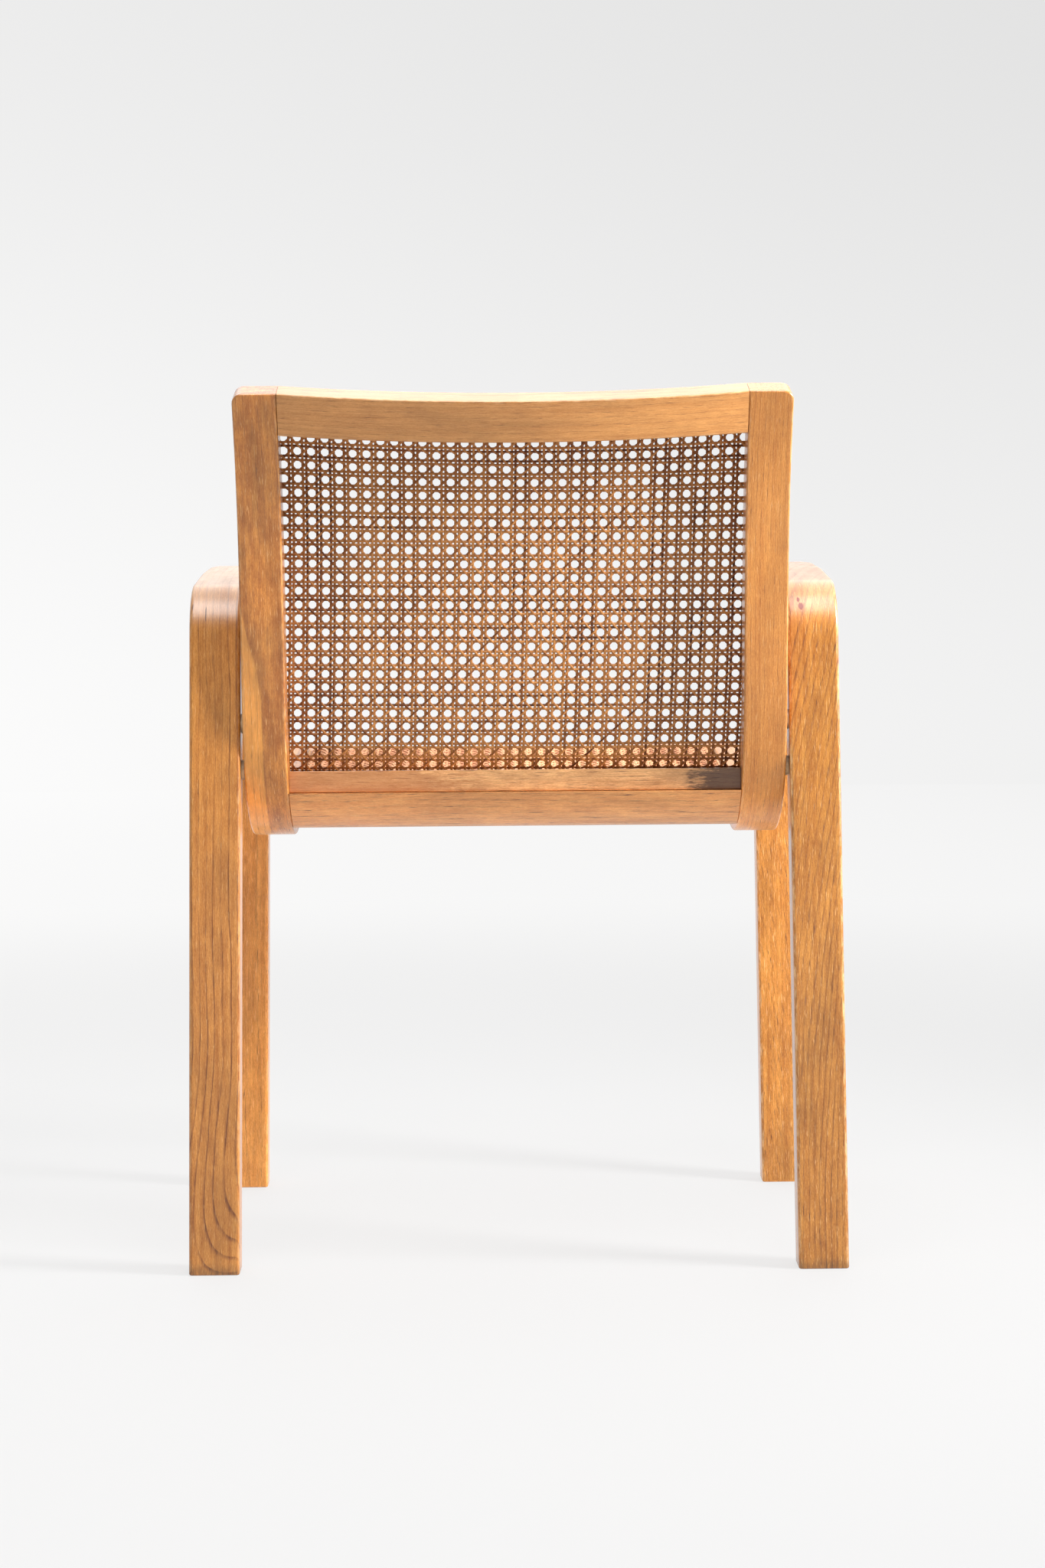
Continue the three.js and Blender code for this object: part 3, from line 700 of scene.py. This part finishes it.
# Members: seat side rail and back stile
def makeMember(hand, side):
    width, thickness, length = member["width"], member["thickness"], member["length"]
    bm = blankBar((0, 0, 0), (length, width, thickness))
    for end, corner, segments in ((length, member["stileCorner"], 6), (0, member["seatCorner"], 8)):
        ease(bm, edgesWhere(bm, lambda x, y, z: near(x, end) and near(y, width)), corner, segments)
    ease(bm, [edge for face in (0, thickness) for edge in edgesWhere(bm, lambda x, y, z: near(z, face))],
         member["edge"])
    crossCut(bm, bendStops(member, member["facet"]))
    bendStrip(bm, member, side)
    addPiece("member_" + hand, bm, memberWood[hand], ["seat_back_member_" + hand])


for hand, side in (("left", 1), ("right", -1)):
    makeLoop(hand, side)
    makeMember(hand, side)
print("loops and members bent")

# Cross rails and the webbing, laid out between the members
railPlan = {
    "half": 0.2057, "gap": 0.0003, "facet": 4, "edge": 0.0016,
    "topHeight": 0.038, "topBow": 0.026, "topCuts": 16,
    "frontWidth": 0.040, "frontDish": 0.003, "frontCuts": 12,
    "rearTop": 0.436, "rearUnderside": 0.403, "rearReach": 0.021,
    "lowerHeight": 0.0197, "lowerRecess": (0.0155, 0.0065), "profileEdge": 0.0009,
}
half = railPlan["half"]
seatRun = member["stations"][0][1]
outerBend = member["course"][1][0]
innerBend = outerBend - member["thickness"]
bendEnd = member["stations"][2][0]
bendCentre = placeOn(member, seatRun, outerBend)


# How far an arc between the members stands out at a place across the chair
def sagitta(across, depth):
    radius = (half ** 2 + depth ** 2) / (2 * depth)
    within = min(abs(across), half)
    return math.sqrt(radius ** 2 - within ** 2) - (radius - depth)


# The distance along a member at which an arc about its bend's centre passes a height
def bendDistance(height, radius):
    below = math.asin((bendCentre[1] - height) / radius)
    return seatRun + (math.radians(member["heading"] - 90) - below) * outerBend


lowerTop = railPlan["rearTop"] + railPlan["gap"] + railPlan["lowerHeight"]
lowerEdge = bendDistance(lowerTop, innerBend)
topEdge = member["length"] - railPlan["topHeight"]
rearEdge = seatRun - railPlan["rearReach"]


def bowed(across):
    return sagitta(across, railPlan["topBow"])


def dished(across):
    return sagitta(across, railPlan["frontDish"])


def straight(_):
    return 0.0


# Places that cut each half of a bar into this many lengths
def evenCuts(count):
    return [half * step / count for step in range(1 - count, count)]


def makeTopRail():
    bm = blankBar((-half, topEdge, 0), (half, member["length"], member["thickness"]))
    ease(bm, lengthwise(bm.edges), railPlan["edge"])
    crossCut(bm, evenCuts(railPlan["topCuts"]))
    layAcross(bm, bowed, (-half, topEdge, 0))
    addPiece("crest_rail", bm, railWood["top"], ["top_rail"])


def makeFrontRail():
    bm = blankBar((-half, 0, 0), (half, railPlan["frontWidth"], member["thickness"]))
    ease(bm, lengthwise(bm.edges), railPlan["edge"])
    crossCut(bm, evenCuts(railPlan["frontCuts"]))
    layAcross(bm, dished, (-half, 0, 0))
    addPiece("seat_front_rail", bm, railWood["front"], ["front_seat_rail"])


def alongMember(low, high, inward):
    stops = bendStops(member, railPlan["facet"])
    stops = [stop for stop in stops if low + 0.001 < stop < high - 0.001]
    return [placeOn(member, stop, inward) for stop in [low, *stops, high]]


# A rail with the same outline all the way across
def makeProfileRail(name, outline, material, node):
    bm = bmesh.new()
    face = bm.faces.new([bm.verts.new((-half, rearFace - forward, up)) for forward, up in outline])
    grown = bmesh.ops.extrude_face_region(bm, geom=[face])["geom"]
    bmesh.ops.translate(bm, verts=[part for part in grown if isinstance(part, bmesh.types.BMVert)],
                        vec=(2 * half, 0, 0))
    bmesh.ops.recalc_face_normals(bm, faces=bm.faces)
    ease(bm, [edge for edge in lengthwise(bm.edges) if edge.calc_face_angle(0) > 0.5],
         railPlan["profileEdge"], 2)
    markGrain(bm, lambda spot: (spot.x + half, spot.z, spot.y))
    addPiece(name, bm, material, [node])


def makeLowRails():
    top, under = railPlan["rearTop"], railPlan["rearUnderside"]
    bottom = top + railPlan["gap"]
    fronts = alongMember(bendDistance(bottom, innerBend), lowerEdge, member["thickness"])
    recess = [(placeOn(member, bendDistance(height, outerBend))[0] + sunk, height)
              for height, sunk in zip((lowerTop, bottom), railPlan["lowerRecess"])]
    makeProfileRail("back_lower_rail", fronts + recess, railWood["lower"], "lower_back_rail")
    behind = alongMember(bendDistance(under, outerBend), bendDistance(top, outerBend), 0)
    above = alongMember(rearEdge, bendDistance(top, innerBend), member["thickness"])
    makeProfileRail("seat_rear_rail", behind[::-1] + [(above[0][0], under)] + above, railWood["rear"],
                    "rear_seat_rail")


makeTopRail()
makeFrontRail()
makeLowRails()
print("rails fitted")

# Webbing: pairs of strands both ways and single strands both diagonal ways.
# Shares are the parts of a pitch at which a strand of a pair has a stop
webbing = {
    "pitch": 0.01235, "pairHalf": 0.00167, "thickness": 0.00095, "width": 0.0022, "diagonalWidth": 0.00195,
    "lap": 0.007, "lift": 0.0017, "taut": 0.0025, "tuck": 0.0015, "tuckRun": 0.0035, "sunk": 0.0012,
    "pressed": 0.35, "margin": 0.009, "shares": (-0.5, -0.32, -0.135, 0, 0.135, 0.32),
    "drift": 0.00012, "diagonalDrift": 0.0001, "diagonalCuts": 8, "steepness": 1.45, "shortest": 0.006,
}
backPanel = {
    "low": lowerEdge - 2 * webbing["lap"], "high": topEdge + webbing["lap"],
    "centre": (-0.006175, 0.5874), "move": 0.00243, "stretch": 1.0042, "skew": -0.0269, "tilt": 0.0065,
    "bowX": 0.0000075, "bowY": -0.000027, "straightAt": lowerEdge, "curvedAt": topEdge,
    "depth": railPlan["topBow"], "sag": 0.0,
}
seatPanel = {
    "low": railPlan["frontWidth"] - webbing["lap"], "high": rearEdge + 2 * webbing["lap"],
    "centre": (0.0, 0.17), "move": 0.002, "stretch": 1.003, "skew": 0.006, "tilt": -0.003,
    "bowX": 0.0, "bowY": 0.0, "straightAt": rearEdge, "curvedAt": railPlan["frontWidth"],
    "depth": railPlan["frontDish"], "sag": 0.003,
}
caneHalf = member["spacing"] + webbing["lap"]
strandSection = [(-0.5, 0.0), (-0.36, 0.5), (0.36, 0.5), (0.5, 0.0), (0.36, -0.5), (-0.36, -0.5)]


def smooth(value):
    value = min(1.0, max(0.0, value))
    return value * value * (3 - 2 * value)


# One strand over stops of its centre line (x, y, z), with the direction across it
def addStrand(bm, grain, stops, sideways, width, number):
    count = len(stops) - 1
    grid = bmesh.ops.create_grid(bm, x_segments=count, y_segments=6, size=0.5)["verts"]
    thickness = webbing["thickness"]
    for vert in grid:
        step = round((vert.co.x + 0.5) * count)
        offset, height = strandSection[round((vert.co.y + 0.5) * 6) % 6]
        x, y, z = stops[step]
        offset *= width
        vert[grain] = (x + y, offset, number)
        vert.co = (x + sideways[0] * offset, y + sideways[1] * offset, z + height * thickness)


# A number from 0 to 1 for each strand, the same in every run
def numberOf(family, index):
    return (math.sin(index * 12.9898 + family * 78.233) * 43758.5453) % 1


# Over one strand of a crossing pair and under the other, level halfway to the next pair
def weaveHeight(offset):
    pitch, pairHalf = webbing["pitch"], webbing["pairHalf"]
    within = (offset + pitch / 2) % pitch - pitch / 2
    if abs(within) < pairHalf:
        return math.sin(math.pi / 2 * within / pairHalf)
    rest = (abs(within) - pairHalf) / (pitch / 2 - pairHalf)
    return math.copysign(math.cos(math.pi / 2 * rest), within)


def weaveStops(low, high, shares, shift):
    pitch = webbing["pitch"]
    first, last = math.floor((low - shift) / pitch) - 1, math.ceil((high - shift) / pitch) + 1
    stops = [shift + (row + share) * pitch for row in range(first, last) for share in shares]
    return [low, *[stop for stop in stops if low + 2e-4 < stop < high - 2e-4], high]


# Pairs that run along y; the crosses are the same with x and y changed over
def addPairs(bm, grain, panel, swapped):
    pitch, pairHalf, margin = webbing["pitch"], webbing["pairHalf"], webbing["margin"]
    spans = [(-caneHalf - margin, caneHalf + margin), (panel["low"] - margin, panel["high"] + margin)]
    (low, high), (start, end) = reversed(spans) if swapped else spans
    shift, along = (panel["centre"][1], panel["centre"][0]) if swapped else panel["centre"]
    shift, along = shift + pitch / 2, along + pitch / 2
    for pair in range(math.floor((low - shift) / pitch), math.ceil((high - shift) / pitch) + 1):
        for hand in (-1, 1):
            centre = shift + pair * pitch + hand * pairHalf
            number = numberOf(2 if swapped else 1, 2 * pair + hand)
            sign = hand if swapped else -hand
            stops = []
            for stop in weaveStops(start, end, webbing["shares"], along):
                drift = webbing["drift"] * math.sin(stop * 41 + number * 60)
                height = sign * webbing["thickness"] / 2 * weaveHeight(stop - along)
                beside = centre + drift
                stops.append((stop, beside, height) if swapped else (beside, stop, height))
            addStrand(bm, grain, stops, (0, 1) if swapped else (1, 0), webbing["width"], number)


def addDiagonals(bm, grain, panel, rising):
    pitch, margin = webbing["pitch"], webbing["margin"]
    lowX, highX = -caneHalf - margin, caneHalf + margin
    lowY, highY = panel["low"] - margin, panel["high"] + margin
    shiftX, shiftY = [middle + pitch / 2 for middle in panel["centre"]]
    reach = math.ceil((highX - lowX + highY - lowY) / pitch)
    across = math.sqrt(0.5)
    shares = [step / webbing["diagonalCuts"] for step in range(webbing["diagonalCuts"])]
    for index in range(-2 * reach, 2 * reach):
        # x = foot + y for rising strands and foot - y for falling ones
        foot = shiftX + (index + 0.5) * pitch - rising * shiftY
        ends = sorted(rising * (edge - foot) for edge in (lowX, highX))
        start, end = max(lowY, ends[0]), min(highY, ends[1])
        if end - start < webbing["shortest"]:
            continue
        number = 0.25 + 0.5 * numberOf(3 if rising > 0 else 4, index)
        stops = []
        for stop in weaveStops(start, end, shares, shiftY):
            swing = math.cos(math.tau * (stop - shiftY) / pitch)
            height = -rising * webbing["thickness"] * max(-1.0, min(1.0, webbing["steepness"] * swing))
            drift = webbing["diagonalDrift"] * math.sin(stop * 37 + number * 60)
            stops.append((foot + rising * stop + drift, stop, height))
        addStrand(bm, grain, stops, (across, -rising * across), webbing["diagonalWidth"], number)


# Hand-laid webbing is never quite square; what hangs over its grooves is cut off
def squareOff(bm, panel):
    centreX, centreY = panel["centre"]
    for vert in bm.verts:
        x, y = vert.co.x - centreX, vert.co.y - centreY
        rows = (y / webbing["pitch"]) ** 2
        vert.co.x = (centreX + panel["move"] + panel["stretch"] * x + panel["skew"] * y
                     + panel["bowX"] * rows)
        vert.co.y = centreY + y + panel["tilt"] * x + panel["bowY"] * rows
        # Inside the bend a member's distance runs faster than the webbing's own length
        if panel["low"] > seatRun and vert.co.y < bendEnd:
            vert.co.y = bendEnd - (bendEnd - vert.co.y) * outerBend / innerBend
    tuck = webbing["tuck"]
    side, low, high = caneHalf + tuck, panel["low"] - tuck, panel["high"] + tuck
    cutThrough(bm, (side, 0, 0), (1, 0, 0), True)
    cutThrough(bm, (-side, 0, 0), (-1, 0, 0), True)
    cutThrough(bm, (0, high, 0), (0, 1, 0), True)
    cutThrough(bm, (0, low, 0), (0, -1, 0), True)
    bmesh.ops.holes_fill(bm, edges=[edge for edge in bm.edges if edge.is_boundary], sides=0)


# The webbing sinks with the curve of one rail and is tucked into its groove along the edges
def wrapWebbing(bm, panel):
    tuck, pressed = webbing["tuck"], webbing["pressed"]
    for vert in bm.verts:
        x, y, z = vert.co
        share = (y - panel["straightAt"]) / (panel["curvedAt"] - panel["straightAt"])
        share = min(1.0, max(0.0, share))
        curve = sagitta(x, panel["depth"]) * share
        middle = max(0.0, 1 - (x / caneHalf) ** 2) * math.sin(math.pi * share)
        fromEdge = min(caneHalf - abs(x), y - panel["low"], panel["high"] - y)
        flat = smooth((fromEdge + tuck) / (webbing["tuckRun"] + tuck))
        height = webbing["lift"] * flat - webbing["sunk"] * (1 - flat)
        height += z * (pressed + (1 - pressed) * flat)
        height += flat * (min(curve, webbing["taut"] * share) - panel["sag"] * middle)
        forward, up = placeOn(member, y, member["thickness"] + height - curve)
        vert.co = (x, rearFace - forward, up)


def makeWebbing(name, panel, material, node):
    makers = {
        "uprights": lambda bm, grain: addPairs(bm, grain, panel, False),
        "crosses": lambda bm, grain: addPairs(bm, grain, panel, True),
        "diagonals": lambda bm, grain: [addDiagonals(bm, grain, panel, rising) for rising in (1, -1)],
    }
    for part, addStrands in makers.items():
        bm = bmesh.new()
        grain = bm.verts.layers.float_vector.new("grain")
        addStrands(bm, grain)
        bmesh.ops.remove_doubles(bm, verts=bm.verts, dist=1e-7)
        squareOff(bm, panel)
        wrapWebbing(bm, panel)
        bmesh.ops.recalc_face_normals(bm, faces=bm.faces)
        print(name, part, len(bm.faces), "faces")
        addPiece(name + "_" + part, bm, material, [node], 70, False)


makeWebbing("back_webbing", backPanel, backCane, "back_cane")
makeWebbing("seat_webbing", seatPanel, seatCane, "seat_cane")

# Splines: round reed over the webbing's edges
splinePlan = {
    "width": 0.0039, "groove": 0.0045, "low": 0.0203, "rise": 0.0012, "round": 0.0017, "cuts": 14,
}


def makeSpline(name, start, end, lay, node):
    top = member["thickness"] + splinePlan["rise"]
    reed = splinePlan["width"] / 2
    bm = blankBar((start, -reed, splinePlan["low"]), (end, reed, top))
    ease(bm, lengthwise(edgesWhere(bm, lambda x, y, z: near(z, top))), splinePlan["round"], 5)
    markGrain(bm, lambda spot: (spot.x, spot.y * 0.4, 0.5))
    lay(bm)
    bmesh.ops.recalc_face_normals(bm, faces=bm.faces)
    addPiece(name, bm, splineWood, [node])


def sideSpline(side):
    def lay(bm):
        crossCut(bm, bendStops(member, railPlan["facet"]))
        for vert in bm.verts:
            forward, up = placeOn(member, vert.co.x, vert.co.z)
            across = caneHalf + splinePlan["groove"] / 2 + vert.co.y
            vert.co = (side * across, rearFace - forward, up)
    return lay


def crossSpline(distance, sinkAt):
    def lay(bm):
        crossCut(bm, evenCuts(splinePlan["cuts"]))
        for vert in bm.verts:
            forward, up = placeOn(member, distance + vert.co.y, vert.co.z - sinkAt(vert.co.x))
            vert.co = (vert.co.x, rearFace - forward, up)
    return lay


def makeSplines():
    gap, groove = railPlan["gap"], splinePlan["groove"] / 2
    for hand, side in (("left", 1), ("right", -1)):
        for panelName, panel in (("back", backPanel), ("seat", seatPanel)):
            makeSpline(f"{panelName}_reed_{hand}", panel["low"] + gap, panel["high"] - gap,
                       sideSpline(side), f"{panelName}_spline_{hand}")
    for panelName, edge, distance, sinkAt in (
            ("back", "top", backPanel["high"] + groove, bowed),
            ("back", "bottom", backPanel["low"] - groove, straight),
            ("seat", "front", seatPanel["low"] - groove, dished),
            ("seat", "rear", seatPanel["high"] + groove, straight)):
        makeSpline(f"{panelName}_reed_{edge}", gap - half, half - gap, crossSpline(distance, sinkAt),
                   f"{panelName}_spline_{edge}")


makeSplines()
print("webbing woven and reeded in")

# Bolts with a hexagon socket, and the turned front spacers
boltShape = {
    "radius": 0.003, "head": 0.007, "headDepth": 0.0024, "socket": 0.0022, "socketDepth": 0.0016,
    "reach": 0.017, "sunk": 0.001, "chamfer": 0.0006, "steps": 36,
}
spacerShape = {
    "bore": 0.0033, "radius": 0.009, "waist": 0.0006, "chamfer": 0.0006, "collar": (0.0022, 0.0034),
    "steps": 32,
}


def boltPlace(where):
    along, inward = boltPlan["places"][where]
    return placeOn(sideLoop, along % sideLoop["length"], inward)


def loopInner(forward, up):
    return sideLoop["spacing"] + sideLoop["toeOut"] * forward - sideLoop["splay"] * up


# Turned pieces are drawn along y and laid outward from a distance across the chair
def layOut(bm, side, across, place):
    turned = Matrix(((0, side, 0), (1, 0, 0), (0, 0, 1))).to_4x4()
    place = Matrix.Translation((side * across, rearFace - place[0], place[1]))
    bmesh.ops.transform(bm, matrix=place @ turned, verts=bm.verts)
    bmesh.ops.recalc_face_normals(bm, faces=bm.faces)


def makeBolt(where, hand, side):
    place = boltPlace(where)
    foot = member["spacing"] + member["width"] - boltShape["reach"]
    length = loopInner(*place) + sideLoop["width"] - boltShape["sunk"] - foot
    radius, chamfer, head = boltShape["radius"], boltShape["chamfer"], boltShape["head"]
    socket, floor = boltShape["socket"], length - boltShape["socketDepth"]
    under = length - boltShape["headDepth"]
    stops = [(0, 0), (radius - chamfer, 0), (radius, chamfer), (radius, under), (head - 0.0002, under),
             (head, under + 0.0003), (head, length - 0.0007), (head - 0.0007, length - 0.0001),
             (head - 0.0016, length), (socket + 0.0003, length), (socket, length - 0.0003),
             (socket, floor), (0, floor - 0.0004)]
    bm = turnOnLathe(stops, boltShape["steps"])
    # The round socket is drawn out to a hexagon
    for vert in bm.verts:
        fromAxis = math.hypot(vert.co.x, vert.co.z)
        if 0.0005 < fromAxis < socket + 0.0001 and vert.co.y > under:
            turn = math.atan2(vert.co.z, vert.co.x) % (math.pi / 3) - math.pi / 6
            grow = math.cos(math.pi / 6) / math.cos(turn)
            vert.co.x *= grow
            vert.co.z *= grow
    layOut(bm, side, foot, place)
    addPiece(f"connector_{where}_{hand}", bm, zincPlate, [f"bolt_{where}_{hand}"], 35)


def makeSpacer(hand, side):
    place = boltPlace("front")
    face, gap = member["spacing"] + member["width"], railPlan["gap"]
    hole, radius, chamfer = spacerShape["bore"], spacerShape["radius"], spacerShape["chamfer"]
    length = loopInner(*place) - face - 2 * gap - sideLoop["toeOut"] * radius
    slim = radius - spacerShape["waist"]
    collarEnd, waistStart = spacerShape["collar"]
    stops = [(hole, 0), (radius - chamfer, 0), (radius, chamfer), (radius, collarEnd), (slim, waistStart),
             (slim, length - waistStart), (radius, length - collarEnd), (radius, length - chamfer),
             (radius - chamfer, length), (hole, length), (hole, 0)]
    bm = turnOnLathe(stops, spacerShape["steps"])
    markGrain(bm, lambda spot: (spot.y, spot.x + 0.02, spot.z + 0.013))
    layOut(bm, side, face + gap, place)
    addPiece(f"turned_spacer_{hand}", bm, spacerWood, [f"spacer_front_{hand}"], 35)


for hand, side in (("left", 1), ("right", -1)):
    for where in boltPlan["places"]:
        makeBolt(where, hand, side)
    makeSpacer(hand, side)

# Frame nodes that stay as they are get their finish
keptFinishes = {"dowel": beech, "insert": brassTurned, "spacer": washerNylon}
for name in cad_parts:
    solid = bpy.data.objects[name]
    if not solid.hide_render:
        solid.data.materials.clear()
        solid.data.materials.append(keptFinishes[name.split("_")[0]])
print("fastenings in")

# Studio: pale floor that runs out into a plain pale surround, soft lights.
# The far side of the room, behind the chair's front, is bright and the camera's side is dim
studio = {
    "ahead": 0.9, "behind": 0.14, "turnsDim": (-0.5, 0.6), "radius": 14.0, "domeGap": 2.0,
    "surround": 0.86, "glow": (1, 0.998, 0.996, 1), "upTo": 6.3, "upward": (1.08, 0.94),
    "sidesAt": (-6.0, 6.0), "sides": (0.94, 1.05), "floor": 0.52, "floorCloud": 0.97,
    "floorGlow": 1.09, "floorEnds": (0.8, 4.2, 0.75),
}


# The world lights the chair and isn't seen, because the dome hides it
def addWorld(look):
    world = bpy.data.worlds.new("studio")
    scene.world = world
    world.use_nodes = True
    tree = world.node_tree
    toward = split(tree, addNode(tree, "TexCoord", {}).outputs["Generated"])["Y"]
    strength = spread(tree, toward, *look["turnsDim"], look["ahead"], look["behind"])
    fill(tree, tree.nodes["Background"], {"Color": (1, 1, 1, 1), "Strength": strength})


def addDome(look):
    bm = bmesh.new()
    bmesh.ops.create_uvsphere(bm, u_segments=48, v_segments=24, radius=look["radius"] + look["domeGap"])
    bmesh.ops.reverse_faces(bm, faces=bm.faces)
    dome = bpy.data.objects.new("surround", meshFrom(bm, "surround"))
    material, tree, _ = newMaterial("surround")
    where = split(tree, readPlace(tree))
    low, high = [look["surround"] * part for part in look["upward"]]
    tone = times(tree, spread(tree, where["Z"], 0.0, look["upTo"], low, high),
                 spread(tree, where["X"], *look["sidesAt"], *look["sides"]))
    glow = addNode(tree, "Emission", {"Color": look["glow"], "Strength": tone})
    fill(tree, tree.nodes["Material Output"], {"Surface": glow.outputs[0]})
    dome.data.materials.append(material)
    dome.visible_diffuse = dome.visible_glossy = False
    dome.visible_shadow = dome.visible_transmission = False
    return dome


def addFloor(look):
    bm = bmesh.new()
    bmesh.ops.create_circle(bm, cap_ends=True, segments=96, radius=look["radius"])
    floor = bpy.data.objects.new("floor", meshFrom(bm, "floor"))
    material, tree, shader = newMaterial("floor")
    place = readPlace(tree)
    tone, cloudTone = look["floor"], look["floorCloud"] * look["floor"]
    shade = blendColour(tree, stretched(tree, place, (1.5, 1.5, 1.5), 2.0),
                        (tone, tone, tone, 1), (cloudTone, cloudTone, cloudTone, 1))
    fill(tree, shader, {"Base Color": shade, "Roughness": 0.7})
    sides = [look["floorGlow"] * look["surround"] * part for part in look["sides"]]
    glow = spread(tree, split(tree, place)["X"], *look["sidesAt"], *sides)
    far = addNode(tree, "Emission", {"Color": look["glow"], "Strength": glow})
    away = addNode(tree, "VectorMath", {0: place}, operation="LENGTH").outputs["Value"]
    share = spread(tree, away, *look["floorEnds"])
    mixed = addNode(tree, "MixShader", {0: share, 1: shader.outputs[0], 2: far.outputs[0]})
    fill(tree, tree.nodes["Material Output"], {"Surface": mixed.outputs[0]})
    floor.data.materials.append(material)
    return floor


addWorld(studio)
dome, floor = addDome(studio), addFloor(studio)
for thing in (dome, floor):
    scene.collection.objects.link(thing)

# The gloss light shows in the lacquer only; the low one lights the undersides and doesn't show in it
lights = {
    "overhead": dict(place=(0.0, -1.3, 2.4), aim=(0.0, -1.1, 0.0), size=(2.8, 3.0), power=32, beam=180),
    "crown": dict(place=(0.0, 1.0, 2.3), aim=(0.0, 0.2, 0.6), size=(1.6, 1.3), power=28, beam=180),
    "gloss": dict(place=(0.0, 1.0, 2.3), aim=(0.0, 0.2, 0.6), size=(1.6, 1.3), power=105, beam=180,
                  diffuse=False),
    "side": dict(place=(-2.2, 0.73, 1.45), aim=(0.15, 0.1, 0.75), size=(0.6, 0.7), power=26, beam=76),
    "low": dict(place=(0.0, 1.75, 0.05), aim=(0.0, 0.3, 0.5), size=(1.8, 0.5), power=4, beam=140,
                glossy=False),
}


def addLight(name, place, aim, size, power, beam, diffuse=True, glossy=True):
    data = bpy.data.lights.new(name, "AREA")
    data.shape, data.size, data.size_y = "RECTANGLE", *size
    data.energy, data.spread = power, math.radians(beam)
    light = bpy.data.objects.new(name, data)
    light.location = place
    light.rotation_euler = (Vector(aim) - Vector(place)).to_track_quat("-Z", "Y").to_euler()
    light.visible_camera = False
    light.visible_diffuse, light.visible_glossy = diffuse, glossy
    scene.collection.objects.link(light)


for name, settings in lights.items():
    addLight(name, **settings)
scene.view_settings.view_transform = "Standard"
print("studio set")
